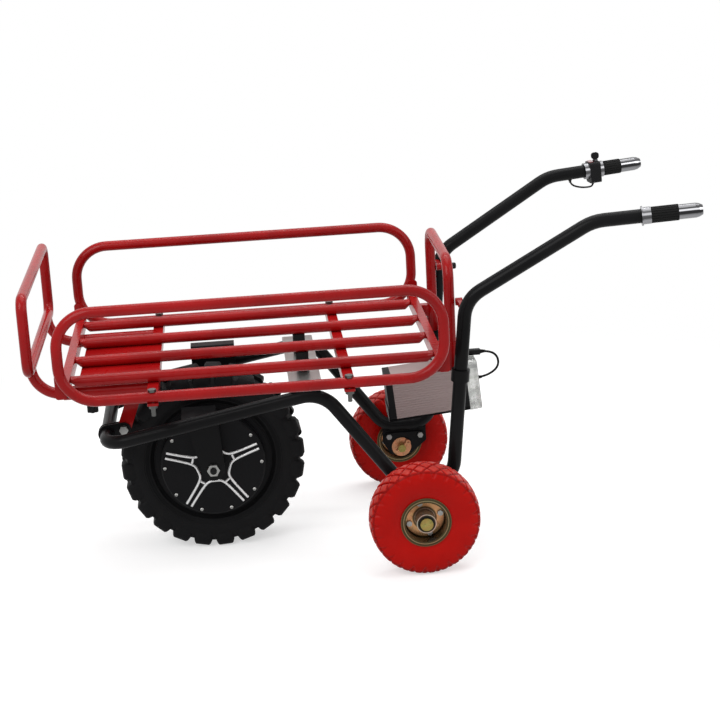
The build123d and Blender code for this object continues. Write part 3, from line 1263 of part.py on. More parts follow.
export_step(bed_slats.part, "parts/bed_slats.step")

# Bed end tubes with their corner plates
end_tube_half = SIDE_FENCE_Y - FENCE_D / 2 - CORNER_PLATE_T
corner_plate_z = end_tube_bottom + CORNER_PLATE_H / 2
fence_front_x = X_BED_FRONT - SIDE_FENCE_OVERHANG
fence_rear_x = X_BED_REAR + SIDE_FENCE_OVERHANG
with BuildPart() as bed_end_tubes:
    for tube_x, plate_x in ((X_BED_FRONT, fence_front_x), (X_BED_REAR, fence_rear_x)):
        with BuildSketch(side_plane(tube_x, end_tube_half, SLAT_Z)):
            Rectangle(END_TUBE_W, END_TUBE_H)
            Rectangle(END_TUBE_W - 2 * END_TUBE_WALL, END_TUBE_H - 2 * END_TUBE_WALL, mode=Mode.SUBTRACT)
        extrude(amount=2 * end_tube_half)
        for side in (-1, 1):
            with BuildSketch(side_plane(plate_x, side * end_tube_half, corner_plate_z)):
                RectangleRounded(CORNER_PLATE_W, CORNER_PLATE_H, 6)
            extrude(amount=-side * CORNER_PLATE_T)
bed_end_tubes.part.label = "bed_end_tubes"
export_step(bed_end_tubes.part, "parts/bed_end_tubes.step")

# Cross members with flanges under the side fences
cross_half = SIDE_FENCE_Y - FENCE_D / 2
with BuildPart() as cross_members:
    for cross_x in (X_CROSS_FRONT, X_CROSS_REAR):
        with BuildSketch(side_plane(cross_x, cross_half, slat_bottom - CROSS_H / 2)):
            Rectangle(CROSS_W, CROSS_H)
            Rectangle(CROSS_W - 2 * CROSS_WALL, CROSS_H - 2 * CROSS_WALL, mode=Mode.SUBTRACT)
        extrude(amount=2 * cross_half)
        for side in (-1, 1):
            with BuildSketch(Plane(origin=(cross_x, side * (SIDE_FENCE_Y - FENCE_D / 2), cross_bottom))):
                RectangleRounded(CROSS_W, 2 * FENCE_D, 5)
                with Locations((0, side * FENCE_D / 2)):
                    Circle(FENCE_BOLT_D / 2, mode=Mode.SUBTRACT)
            extrude(amount=FLANGE_T)
cross_members.part.label = "cross_members"
export_step(cross_members.part, "parts/cross_members.step")

# Hinge saddle: a plate under the slats with two legs down to the hinge bolts
saddle_rear = X_CROSS_FRONT - CROSS_W / 2
with BuildPart() as hinge_saddle:
    with BuildSketch(Plane(origin=(saddle_rear - SADDLE_LENGTH / 2, 0, slat_bottom - SADDLE_T))):
        Rectangle(SADDLE_LENGTH, 2 * SADDLE_HALF)
    extrude(amount=SADDLE_T)
    for side in (-1, 1):
        with BuildSketch(side_plane(0, side * HINGE_LEG_Y + HINGE_LEG_T / 2, 0)):
            with Locations((X_HINGE, HINGE_Z)):
                Circle(HINGE_LEG_W / 2)
            with Locations((saddle_rear - HINGE_LEG_W / 2, slat_bottom - SADDLE_T / 2)):
                Rectangle(HINGE_LEG_W, SADDLE_T)
            make_hull()
            with Locations((X_HINGE, HINGE_Z)):
                Circle(HINGE_BOLT_D / 2 + RUN_CLEAR, mode=Mode.SUBTRACT)
        extrude(amount=HINGE_LEG_T)
hinge_saddle.part.label = "hinge_saddle"
export_step(hinge_saddle.part, "parts/hinge_saddle.step")

# Side fences, each two bent ends and two rails of tube, bolted to the cross members
for side, label in ((-1, "side_fence_left"), (1, "side_fence_right")):
    side_fence_mid = (fence_front_x + fence_rear_x) / 2
    corners = [
        (side_fence_mid, side_fence_z),
        (fence_rear_x, side_fence_z),
        (fence_rear_x, side_fence_z + SIDE_FENCE_H),
        (fence_front_x, side_fence_z + SIDE_FENCE_H),
        (fence_front_x, side_fence_z),
        (side_fence_mid, side_fence_z),
    ]
    with BuildPart() as side_fence:
        with BuildLine(side_plane(0, side * SIDE_FENCE_Y, 0)):
            FilletPolyline(*corners, radius=[0, SIDE_FENCE_R, SIDE_FENCE_R, SIDE_FENCE_R, SIDE_FENCE_R])
        start = (side_fence_mid, side * SIDE_FENCE_Y, side_fence_z)
        with BuildSketch(Plane(origin=start, z_dir=(1, 0, 0))):
            Circle(FENCE_D / 2)
            Circle(FENCE_D / 2 - FENCE_WALL, mode=Mode.SUBTRACT)
        sweep()
        with BuildSketch(Plane(origin=(0, side * SIDE_FENCE_Y, side_fence_z - FENCE_D))):
            with Locations((X_CROSS_FRONT, 0), (X_CROSS_REAR, 0)):
                Circle(FENCE_BOLT_D / 2)
        extrude(amount=2 * FENCE_D, mode=Mode.SUBTRACT)
        for seam_x in (fence_front_x + SIDE_FENCE_SEAM, fence_rear_x - SIDE_FENCE_SEAM):
            split(bisect_by=Plane(origin=(seam_x, 0, 0), z_dir=(1, 0, 0)), keep=Keep.BOTH)
    print(label, "solids", len(side_fence.part.solids()))
    side_fence.part.label = label
    export_step(side_fence.part, f"parts/{label}.step")

# Fence bolts through the side fences and the flanges
with BuildPart() as fence_bolts:
    for side in (-1, 1):
        for cross_x in (X_CROSS_FRONT, X_CROSS_REAR):
            with BuildSketch(Plane(origin=(cross_x, side * SIDE_FENCE_Y, cross_bottom - FENCE_BOLT_TAIL))):
                Circle(FENCE_BOLT_D / 2)
            extrude(amount=FENCE_BOLT_TAIL + FLANGE_T + FENCE_D)
            with BuildSketch(Plane(origin=(cross_x, side * SIDE_FENCE_Y, cross_bottom - FENCE_NUT_T))):
                RegularPolygon(FENCE_NUT_AF / 2, 6, major_radius=False)
            extrude(amount=FENCE_NUT_T)
            with BuildSketch(Plane(origin=(cross_x, side * SIDE_FENCE_Y, side_fence_z + FENCE_D / 2))):
                RegularPolygon(FENCE_NUT_AF / 2, 6, major_radius=False)
            extrude(amount=FENCE_BOLT_HEAD_H)
fence_bolts.part.label = "fence_bolts"
export_step(fence_bolts.part, "parts/fence_bolts.step")

# Sockets for the front and back fences
socket_front = X_BED_FRONT - END_TUBE_W / 2
knob_x = X_REAR - KNOB_REACH
boss_bottom = socket_z - SOCKET_D / 2 - KNOB_BOSS_H
back_socket_top = BACK_SOCKET_BOTTOM_Z + BACK_SOCKET_H
rear_tube_face = X_BED_REAR + END_TUBE_W / 2
socket_web_x = (rear_tube_face + X_BACK_FENCE) / 2
back_socket_floor = BACK_SOCKET_BOTTOM_Z + BACK_SOCKET_FLOOR
with BuildPart() as fence_sockets:
    for side in (-1, 1):
        with BuildSketch(Plane(origin=(socket_front, side * FRONT_LEG_Y, socket_z), z_dir=(1, 0, 0))):
            Circle(SOCKET_D / 2)
        extrude(amount=saddle_rear - socket_front)
        with BuildSketch(Plane(origin=(knob_x, side * FRONT_LEG_Y, boss_bottom))):
            Circle(KNOB_BOSS_D / 2)
        extrude(amount=socket_z - boss_bottom)
        with BuildSketch(Plane(origin=(socket_front, side * FRONT_LEG_Y, socket_z), z_dir=(1, 0, 0))):
            Circle(socket_bore_r)
        extrude(amount=saddle_rear - socket_front, mode=Mode.SUBTRACT)
        with BuildSketch(Plane(origin=(knob_x, side * FRONT_LEG_Y, boss_bottom))):
            Circle(KNOB_STUD_D / 2 + RUN_CLEAR)
        extrude(amount=socket_z - boss_bottom, mode=Mode.SUBTRACT)
        with BuildSketch(Plane(origin=(X_BACK_FENCE, side * BACK_FENCE_HALF, BACK_SOCKET_BOTTOM_Z))):
            Circle(SOCKET_D / 2)
        extrude(amount=BACK_SOCKET_H)
        with BuildSketch(Plane(origin=(socket_web_x, side * BACK_FENCE_HALF, end_tube_bottom))):
            Rectangle(X_BACK_FENCE - rear_tube_face, SOCKET_D * 0.7)
        extrude(amount=back_socket_top - end_tube_bottom)
        with BuildSketch(Plane(origin=(X_BACK_FENCE, side * BACK_FENCE_HALF, back_socket_floor))):
            Circle(socket_bore_r)
        extrude(amount=BACK_SOCKET_H, mode=Mode.SUBTRACT)
fence_sockets.part.label = "fence_sockets"
export_step(fence_sockets.part, "parts/fence_sockets.step")

# Back fence, with a latch hole in its right leg for each of its two heights
back_leg_z = back_socket_floor + GAP
with BuildPart() as back_fence:
    with BuildLine():
        FilletPolyline(
            (X_BACK_FENCE, -BACK_FENCE_HALF, back_leg_z),
            (X_BACK_FENCE, -BACK_FENCE_HALF, BACK_FENCE_TOP_Z),
            (X_BACK_FENCE, BACK_FENCE_HALF, BACK_FENCE_TOP_Z),
            (X_BACK_FENCE, BACK_FENCE_HALF, back_leg_z),
            radius=BACK_FENCE_R,
        )
    with BuildSketch(Plane(origin=(X_BACK_FENCE, -BACK_FENCE_HALF, back_leg_z))):
        Circle(FENCE_D / 2)
        Circle(FENCE_D / 2 - FENCE_WALL, mode=Mode.SUBTRACT)
    sweep()
    for hole_z in (LATCH_Z, LATCH_Z - BACK_FENCE_LIFT):
        with BuildSketch(Plane(origin=(X_BACK_FENCE, BACK_FENCE_HALF, hole_z), z_dir=(1, 0, 0))):
            Circle(LATCH_PIN_D / 2 + SIDE_CLEAR)
        extrude(amount=FENCE_D, mode=Mode.SUBTRACT)
back_fence.part.label = "back_fence"
export_step(back_fence.part, "parts/back_fence.step")

# Front fence, a loop of tube on two bent legs that slide in the front sockets
front_leg_end = saddle_rear - 10
front_fence_top = FRONT_FENCE_BOTTOM_Z + FRONT_FENCE_H
front_corners = [
    (X_FRONT_FENCE, 0, FRONT_FENCE_BOTTOM_Z),
    (X_FRONT_FENCE, FRONT_FENCE_HALF, FRONT_FENCE_BOTTOM_Z),
    (X_FRONT_FENCE, FRONT_FENCE_HALF, front_fence_top),
    (X_FRONT_FENCE, -FRONT_FENCE_HALF, front_fence_top),
    (X_FRONT_FENCE, -FRONT_FENCE_HALF, FRONT_FENCE_BOTTOM_Z),
    (X_FRONT_FENCE, 0, FRONT_FENCE_BOTTOM_Z),
]
with BuildPart() as front_fence:
    for side in (-1, 1):
        leg_start = (X_FRONT_FENCE, side * FRONT_LEG_Y, FRONT_FENCE_BOTTOM_Z)
        with BuildLine(side_plane(0, side * FRONT_LEG_Y, 0)):
            CenterArc((X_FRONT_FENCE + front_leg_r, FRONT_FENCE_BOTTOM_Z), front_leg_r, 180, 90)
            Line((X_FRONT_FENCE + front_leg_r, socket_z), (front_leg_end, socket_z))
        with BuildSketch(Plane(origin=leg_start, z_dir=(0, 0, -1))):
            Circle(FENCE_D / 2)
            Circle(FENCE_D / 2 - FENCE_WALL, mode=Mode.SUBTRACT)
        sweep()
    with BuildSketch(side_plane(X_FRONT_FENCE, FRONT_FENCE_HALF, FRONT_FENCE_BOTTOM_Z)):
        Circle(FENCE_D / 2)
    extrude(amount=2 * FRONT_FENCE_HALF, mode=Mode.SUBTRACT)
    with BuildLine():
        FilletPolyline(*front_corners, radius=[0] + 4 * [FRONT_FENCE_R])
    with BuildSketch(Plane(origin=front_corners[0], z_dir=(0, 1, 0))):
        Circle(FENCE_D / 2)
        Circle(FENCE_D / 2 - FENCE_WALL, mode=Mode.SUBTRACT)
    sweep()
    with BuildSketch(Plane(origin=(X_FRONT_FENCE, 0, FRONT_FENCE_BOTTOM_Z - FENCE_D))):
        with GridLocations(0, 2 * FRONT_LEG_Y, 1, 2):
            Circle(VENT_D / 2)
    extrude(amount=FENCE_D, mode=Mode.SUBTRACT)
front_fence.part.label = "front_fence"
export_step(front_fence.part, "parts/front_fence.step")

# Clamp knobs under the front sockets
knob_tip = socket_z - FENCE_D / 2 - GAP
neck_top = boss_bottom - GAP
for side, label in ((-1, "clamp_knob_left"), (1, "clamp_knob_right")):
    with BuildPart() as clamp_knob:
        with BuildSketch(Plane(origin=(knob_x, side * FRONT_LEG_Y, neck_top - KNOB_NECK_H))):
            Circle(KNOB_STUD_D / 2)
        extrude(amount=knob_tip - neck_top + KNOB_NECK_H)
        with BuildSketch(Plane(origin=(knob_x, side * FRONT_LEG_Y, neck_top - KNOB_NECK_H))):
            Circle(KNOB_NECK_D / 2)
        extrude(amount=KNOB_NECK_H)
        with BuildSketch(Plane(origin=(knob_x, side * FRONT_LEG_Y, neck_top - KNOB_NECK_H))):
            Circle(KNOB_D / 2)
            with PolarLocations(KNOB_D / 2 + 1.5, 6):
                Circle(4, mode=Mode.SUBTRACT)
        extrude(amount=-KNOB_H)
    clamp_knob.part.label = label
    export_step(clamp_knob.part, f"parts/{label}.step")
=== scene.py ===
import json
import math

import bmesh
import bpy
from mathutils import Matrix, Vector


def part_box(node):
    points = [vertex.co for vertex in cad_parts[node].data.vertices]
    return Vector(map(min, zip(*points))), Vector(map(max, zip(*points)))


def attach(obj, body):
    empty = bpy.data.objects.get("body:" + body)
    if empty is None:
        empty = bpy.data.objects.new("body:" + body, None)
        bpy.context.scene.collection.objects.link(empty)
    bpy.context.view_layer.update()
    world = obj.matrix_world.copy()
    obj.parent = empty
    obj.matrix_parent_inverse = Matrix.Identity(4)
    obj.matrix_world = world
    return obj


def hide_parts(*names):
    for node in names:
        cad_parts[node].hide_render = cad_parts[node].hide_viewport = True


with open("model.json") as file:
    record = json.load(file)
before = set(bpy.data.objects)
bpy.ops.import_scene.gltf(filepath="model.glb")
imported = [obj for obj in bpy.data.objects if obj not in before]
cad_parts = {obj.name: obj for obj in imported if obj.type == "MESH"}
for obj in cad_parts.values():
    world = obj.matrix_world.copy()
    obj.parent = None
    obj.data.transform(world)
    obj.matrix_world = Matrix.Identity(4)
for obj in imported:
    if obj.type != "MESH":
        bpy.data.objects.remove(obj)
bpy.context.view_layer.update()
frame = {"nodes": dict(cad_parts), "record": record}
nodes = frame["nodes"]
scene = bpy.context.scene
scene.view_settings.view_transform = "Standard"

# Sizes and places, in metres
MM = 0.001
FULL_TURN = 2 * math.pi
SIDES = ((-1, "left"), (1, "right"))


def middle(node):
    low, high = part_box(node)
    return (low + high) / 2


DRIVE_R = 223 * MM
REAR_R = 130 * MM
REAR_AXLE = middle("rear_hub_left").x
WHEEL_CENTRE = Vector((middle("motor_shell").x, 0, DRIVE_R))
HANDLE_END = Vector((REAR_AXLE + 638 * MM, 310 * MM, 815 * MM))
HANDLE_LINE = Vector((226, 26, 15)).normalized()
HANDLE_UP = HANDLE_LINE.cross(Vector((-HANDLE_LINE.y, HANDLE_LINE.x, 0))).normalized()
END_CAP_START = HANDLE_END.x - 60 * MM

# Camera at the photograph's viewing angle: yaw, pitch and roll in degrees
CAMERA_TURN = (3.8, 16.0, -3.1)
CAMERA_PLACE = (REAR_AXLE - 0.3952, -4.2899, 1.6667)
SENSOR_WIDTH = 36
FOCAL_LENGTH = 91.84


def aim_camera():
    yaw, pitch, roll = (math.radians(angle) for angle in CAMERA_TURN)
    flat = math.cos(pitch)
    ahead = Vector((math.sin(yaw) * flat, math.cos(yaw) * flat, -math.sin(pitch)))
    right = Vector((math.cos(yaw), -math.sin(yaw), 0))
    up = right.cross(ahead)
    level = right * math.cos(roll) + up * math.sin(roll)
    upright = -right * math.sin(roll) + up * math.cos(roll)
    lens = bpy.data.cameras.new("camera")
    lens.sensor_width = SENSOR_WIDTH
    lens.lens = FOCAL_LENGTH
    camera = bpy.data.objects.new("camera", lens)
    turn = Matrix((level, upright, -ahead)).transposed().to_4x4()
    camera.matrix_world = Matrix.Translation(CAMERA_PLACE) @ turn
    scene.collection.objects.link(camera)
    scene.camera = camera


# Node wiring
class Wire:
    """An output socket that takes part in plain arithmetic."""

    def __init__(self, bench, socket):
        self.bench = bench
        self.socket = socket

    def __add__(self, other):
        return self.bench.maths("ADD", self, other)

    __radd__ = __add__

    def __sub__(self, other):
        return self.bench.maths("SUBTRACT", self, other)

    def __rsub__(self, other):
        return self.bench.maths("SUBTRACT", other, self)

    def __mul__(self, other):
        return self.bench.maths("MULTIPLY", self, other)

    __rmul__ = __mul__

    def __truediv__(self, other):
        return self.bench.maths("DIVIDE", self, other)

    def __rtruediv__(self, other):
        return self.bench.maths("DIVIDE", other, self)

    def __pow__(self, other):
        return self.bench.maths("POWER", self, other)

    def __abs__(self):
        return self.bench.maths("ABSOLUTE", self)


class Bench:
    """Adds nodes to one tree."""

    def __init__(self, tree):
        self.tree = tree

    def node(self, kind, settings=None, sockets=None, out=0):
        """One node: its settings first, then its sockets. A list links several wires to one socket."""
        made = self.tree.nodes.new(kind)
        for name, value in (settings or {}).items():
            if name == "stops":
                ramp = made.color_ramp
                ramp.elements[0].position, ramp.elements[0].color = value[0]
                ramp.elements[-1].position, ramp.elements[-1].color = value[-1]
                for place, colour in value[1:-1]:
                    ramp.elements.new(place).color = colour
            else:
                setattr(made, name, value)
        for key, value in (sockets or {}).items():
            for item in value if isinstance(value, list) else [value]:
                if isinstance(item, Wire):
                    self.tree.links.new(item.socket, made.inputs[key])
                else:
                    made.inputs[key].default_value = item
        return Wire(self, made.outputs[out]) if len(made.outputs) else made

    def maths(self, operation, *terms):
        return self.node("ShaderNodeMath", {"operation": operation}, dict(enumerate(terms)))

    def between(self, value, low, high):
        """0 below low, 1 above high and a smooth step from one to the other."""
        sockets = {"Value": value, "From Min": low, "From Max": high}
        return self.node("ShaderNodeMapRange", {"interpolation_type": "SMOOTHSTEP"}, sockets)

    def larger(self, a, b):
        return self.maths("MAXIMUM", a, b)

    def off_middle(self, value):
        """How far a value lies from half way between two whole numbers, at most a half."""
        return abs(self.maths("FRACT", value) - 0.5)

    def vector(self, x, y, z):
        return self.node("ShaderNodeCombineXYZ", None, {0: x, 1: y, 2: z})

    def parts_of(self, vector):
        split = self.node("ShaderNodeSeparateXYZ", None, {0: vector}).socket.node
        return [Wire(self, split.outputs[i]) for i in range(3)]

    def seen(self):
        """1 for rays from the camera, from a mirror and through glass."""
        path = self.node("ShaderNodeLightPath").socket.node
        direct, mirrored, through = (
            Wire(self, path.outputs[f"Is {kind} Ray"]) for kind in ("Camera", "Glossy", "Transmission")
        )
        return self.larger(self.larger(direct, mirrored), through)


class Finish(Bench):
    """A material whose nodes feed one Principled shader."""

    def __init__(self, name, **fixed):
        self.material = bpy.data.materials.new(name)
        self.material.use_nodes = True
        super().__init__(self.material.node_tree)
        self.shader = self.tree.nodes["Principled BSDF"]
        for key, value in fixed.items():
            label = key.replace("_", " ").title().replace("Ior", "IOR")
            self.shader.inputs[label].default_value = value
        self.place = self.node("ShaderNodeTexCoord", out="Object")

    def feed(self, socket, wire):
        self.tree.links.new(wire.socket, self.shader.inputs[socket])

    def stretched(self, x, y, z):
        return self.node("ShaderNodeMapping", None, {"Vector": self.place, "Scale": (x, y, z)})

    def noise(self, scale, detail, place=None, distortion=0.0):
        sockets = {"Scale": scale, "Detail": detail, "Distortion": distortion}
        return self.node("ShaderNodeTexNoise", None, {"Vector": place or self.place, **sockets})

    def cells(self, scale):
        return self.node("ShaderNodeTexVoronoi", None, {"Vector": self.place, "Scale": scale})

    def blend(self, share, a, b, way="MIX"):
        settings = {"data_type": "RGBA", "blend_type": way}
        return self.node("ShaderNodeMix", settings, {0: share, 6: a, 7: b}, out=2)

    def ramp(self, share, *stops):
        settings = {"stops": [(place, (*colour, 1.0)) for place, colour in stops]}
        return self.node("ShaderNodeValToRGB", settings, {0: share})

    def relief(self, height, strength, depth):
        sockets = {"Strength": strength, "Distance": depth, "Height": height}
        self.feed("Normal", self.node("ShaderNodeBump", None, sockets))

    def facing_up(self):
        """0 on an under side, 1 on an upper one."""
        return 0.5 + 0.5 * self.parts_of(self.node("ShaderNodeNewGeometry", out="Normal"))[2]

    def from_rear_axle(self):
        """Distance from the line through both rear axle pins."""
        x, _, z = self.parts_of(self.place)
        return ((x - REAR_AXLE) ** 2 + (z - REAR_R) ** 2) ** 0.5


def tone(r, g, b):
    return (r, g, b, 1.0)


def grey(level):
    return tone(level, level, level)


def scaled(level, colour):
    return tuple(level * part for part in colour)


# Finishes, with the sizes that their patterns follow and the lines to the metre that they have
SHEET_PITCH = 1 * MM
SCORE_PITCH = 2 * MM
CASE_SLOPE = 0.0875
RIM_EDGE_R = 60 * MM
CROWN_BEND = 3.2
SLEEVE_HALF = 30 * MM
SOFT_EDGE = 2 * MM
TREAD_BAND = (124 * MM, 126 * MM)
SHOULDER_BAND = (119 * MM, 121 * MM)
# Depths below the crown over which the rear tyre's painted highlight and painted shade fade
HIGHLIGHT_DEPTH = (0.3 * MM, 1.1 * MM)
GROOVE_SHADE_DEPTH = (0.9 * MM, 2.8 * MM)
TRACKS_ALONG = 240
TRACKS_UP = 190
PRISMS = 420


def powder_coat(name, deep, fair, gloss, sheen, coat):
    paint = Finish(name, specular_ior_level=sheen, coat_weight=coat, coat_roughness=0.07)
    cloud = paint.between(paint.noise(scale=7, detail=4), 0.3, 0.7)
    grime = paint.between(paint.noise(scale=24, detail=6, distortion=0.5), 0.58, 0.80)
    body = paint.blend(cloud, tone(*deep), tone(*fair))
    paint.feed("Base Color", paint.blend(0.30 * grime, body, tone(*scaled(0.55, deep))))
    paint.feed("Roughness", gloss + 0.08 * paint.noise(scale=46, detail=3) + 0.10 * grime)
    orange_peel = paint.noise(scale=620, detail=1) + 0.35 * paint.noise(scale=170, detail=1)
    paint.relief(orange_peel, strength=0.08, depth=0.6 * MM)
    return paint.material


def plated(name, shade, rough, reflection_bands, metallic=1.0):
    """Bright metal with painted reflection: its tone runs with the way a surface faces, from under to
    upper side.
    """
    low, high = rough
    metal = Finish(name, metallic=metallic)
    cloud = metal.between(metal.noise(scale=85, detail=4), 0.3, 0.7)
    # Painted reflection: bright and dark bands set by the way the surface faces
    body = metal.ramp(metal.facing_up(), *((place, scaled(level, shade)) for place, level in reflection_bands))
    metal.feed("Base Color", metal.blend(0.22 * cloud, body, tone(*scaled(0.55, shade))))
    metal.feed("Roughness", low + (high - low) * metal.noise(scale=140, detail=3))
    metal.relief(metal.noise(scale=900, detail=2), strength=0.05, depth=0.3 * MM)
    return metal.material


def handle_metal(name, collar_reflection_bands, cap_reflection_bands):
    """Collars and clamps in one tone, and the mirror caps at the handle ends in another, each with
    painted reflection banded by the way a surface faces.
    """
    metal = Finish(name, metallic=1.0)
    facing = metal.facing_up()
    along = metal.parts_of(metal.place)[0]
    at_end = metal.between(along, END_CAP_START - SOFT_EDGE, END_CAP_START + SOFT_EDGE)
    # Painted reflection: each tone is banded by the way the surface faces
    collar, cap = (
        metal.ramp(facing, *((place, (level, level, 1.04 * level)) for place, level in reflection_bands))
        for reflection_bands in (collar_reflection_bands, cap_reflection_bands)
    )
    metal.feed("Base Color", metal.blend(at_end, collar, cap))
    metal.feed("Roughness", 0.26 - 0.16 * at_end + 0.08 * metal.noise(scale=140, detail=3))
    metal.relief(metal.noise(scale=900, detail=2), strength=0.04, depth=0.3 * MM)
    return metal.material


def yellow_passivate(name, rings):
    """Yellow zinc, with its tint drifting and its tone set by the distance from the rear axle; on the
    rear wheel the rings add painted shade and painted reflection of the dished rim.
    """
    metal = Finish(name, metallic=0.85)
    # On the rear wheel these rings are painted shade in the dark bands and painted reflection in the
    # bright ones
    tint = metal.ramp(metal.from_rear_axle() / RIM_EDGE_R, *rings)
    drift = metal.between(metal.noise(scale=30, detail=3, distortion=1.6), 0.30, 0.70)
    stain = metal.between(metal.noise(scale=120, detail=5), 0.52, 0.75)
    warm = metal.blend(0.75 * drift, tint, tone(1.25, 0.80, 0.85), "MULTIPLY")
    metal.feed("Base Color", metal.blend(0.30 * stain, warm, tone(0.06, 0.045, 0.02)))
    metal.feed("Roughness", 0.20 + 0.16 * metal.noise(scale=70, detail=4) + 0.15 * stain)
    metal.relief(metal.noise(scale=800, detail=2), strength=0.05, depth=0.3 * MM)
    return metal.material


def lamination_steel(name):
    metal = Finish(name, metallic=0.8)
    sheets = metal.parts_of(metal.place)[1] / SHEET_PITCH
    edge = metal.between(metal.off_middle(sheets), 0.30, 0.48)
    metal.feed("Base Color", metal.blend(edge, tone(0.34, 0.32, 0.30), tone(0.12, 0.11, 0.10)))
    metal.feed("Roughness", 0.42 + 0.2 * edge)
    metal.relief(1 - edge, strength=0.2, depth=0.4 * MM)
    return metal.material


def cast_black(name):
    casting = Finish(name, specular_ior_level=0.07)
    cloud = casting.noise(scale=11, detail=4)
    body = casting.blend(cloud, tone(0.0040, 0.0040, 0.0044), tone(0.0075, 0.0075, 0.0085))
    casting.feed("Base Color", body)
    casting.feed("Roughness", 0.34 + 0.16 * casting.noise(scale=60, detail=4))
    grain = casting.noise(scale=420, detail=3) + 0.5 * casting.noise(scale=1300, detail=1)
    casting.relief(grain, strength=0.16, depth=0.6 * MM)
    return casting.material


def tyre_rubber(name):
    rubber = Finish(name, specular_ior_level=0.08)
    cloud = rubber.noise(scale=9, detail=5)
    bloom = rubber.between(rubber.noise(scale=30, detail=6), 0.5, 0.75)
    body = rubber.blend(cloud, tone(0.0042, 0.0042, 0.0046), tone(0.0082, 0.0082, 0.0088))
    rubber.feed("Base Color", rubber.blend(0.4 * bloom, body, tone(0.012, 0.0117, 0.0115)))
    rubber.feed("Roughness", 0.50 + 0.16 * rubber.noise(scale=50, detail=4) + 0.10 * bloom)
    grain = rubber.noise(scale=520, detail=3) + 0.6 * rubber.cells(scale=900)
    rubber.relief(grain, strength=0.18, depth=0.6 * MM)
    return rubber.material


def red_urethane(name):
    """Red solid tyre: paler tops of the tread blocks as a painted highlight, darker down in the grooves
    as painted shade.
    """
    foam = Finish(name, specular_ior_level=0.09)
    out = foam.from_rear_axle()
    from_middle = abs(foam.parts_of(foam.place)[1]) - abs(middle("rear_hub_left").y)
    below = REAR_R - CROWN_BEND * from_middle ** 2 - out
    on_tread = foam.between(out, *TREAD_BAND)
    on_shoulder = foam.between(out, *SHOULDER_BAND)
    # Painted highlight on the block tops and painted shade down in the grooves
    tread_top_highlight = (1 - foam.between(below, *HIGHLIGHT_DEPTH)) * on_tread
    groove_shade = foam.between(below, *GROOVE_SHADE_DEPTH) * on_shoulder
    cloud = foam.between(foam.noise(scale=12, detail=5), 0.3, 0.7)
    speck = foam.between(foam.noise(scale=260, detail=3), 0.60, 0.72)
    body = foam.blend(cloud, tone(0.37, 0.0032, 0.0016), tone(0.44, 0.0050, 0.0026))
    # Painted highlight on the block tops, then painted shade in the grooves
    body = foam.blend(0.55 * tread_top_highlight, body, tone(0.52, 0.060, 0.045))
    body = foam.blend(0.65 * groove_shade, body, tone(0.17, 0.002, 0.001))
    foam.feed("Base Color", foam.blend(0.25 * speck, body, tone(0.28, 0.004, 0.003)))
    foam.feed("Roughness", 0.28 + 0.14 * foam.noise(scale=45, detail=4) + 0.10 * speck)
    foam.relief(foam.noise(scale=420, detail=3) - 0.7 * speck, strength=0.14, depth=0.6 * MM)
    return foam.material


def soft_rubber(name):
    rubber = Finish(name, specular_ior_level=0.12)
    dots = rubber.between(rubber.cells(scale=620), 0.15, 0.55)
    cloud = rubber.noise(scale=30, detail=4)
    rubber.feed("Base Color", rubber.blend(cloud, grey(0.005), grey(0.011)))
    rubber.feed("Roughness", 0.60 + 0.12 * cloud + 0.08 * dots)
    rubber.relief(1 - dots, strength=0.35, depth=0.6 * MM)
    return rubber.material


def moulded_plastic(name):
    plastic = Finish(name, specular_ior_level=0.09)
    cloud = plastic.noise(scale=24, detail=4)
    body = plastic.blend(cloud, tone(0.006, 0.006, 0.0065), tone(0.012, 0.012, 0.0125))
    plastic.feed("Base Color", body)
    plastic.feed("Roughness", 0.38 + 0.14 * plastic.noise(scale=90, detail=3))
    grain = plastic.noise(scale=1100, detail=2) + 0.4 * plastic.cells(scale=700)
    plastic.relief(grain, strength=0.14, depth=0.4 * MM)
    return plastic.material


def drawn_aluminium(name):
    """Extruded case: fine scored lines along its slope, darkened as painted shade, and streaks from the
    die.
    """
    metal = Finish(name, metallic=0.25, specular_ior_level=0.3)
    run, _, rise = metal.parts_of(metal.place)
    lines = (rise - CASE_SLOPE * run) / SCORE_PITCH
    score = metal.between(metal.off_middle(lines), 0.34, 0.46)
    draw = metal.noise(scale=60, detail=4, place=metal.stretched(0.05, 6, 6))
    cloud = metal.noise(scale=9, detail=3)
    body = metal.blend(draw, tone(0.30, 0.235, 0.23), tone(0.44, 0.37, 0.36))
    body = metal.blend(0.35 * cloud, body, tone(0.35, 0.235, 0.225))
    # The scored lines are darkened in the base colour as painted shade in their grooves
    metal.feed("Base Color", metal.blend(0.45 * score, body, tone(0.14, 0.10, 0.098)))
    metal.feed("Roughness", 0.36 + 0.18 * draw)
    metal.relief(0.4 * draw - score, strength=0.20, depth=0.4 * MM)
    return metal.material


def cell_sleeve(name):
    sleeve = Finish(name, coat_weight=0.4)
    across = sleeve.parts_of(sleeve.place)[1]
    band = sleeve.between(abs(across), SLEEVE_HALF - 1 * MM, SLEEVE_HALF)
    cloud = sleeve.noise(scale=40, detail=3)
    body = sleeve.blend(cloud, tone(0.04, 0.20, 0.33), tone(0.06, 0.26, 0.40))
    sleeve.feed("Base Color", sleeve.blend(band, body, tone(0.45, 0.45, 0.46)))
    sleeve.feed("Roughness", 0.28 + 0.1 * cloud)
    return sleeve.material


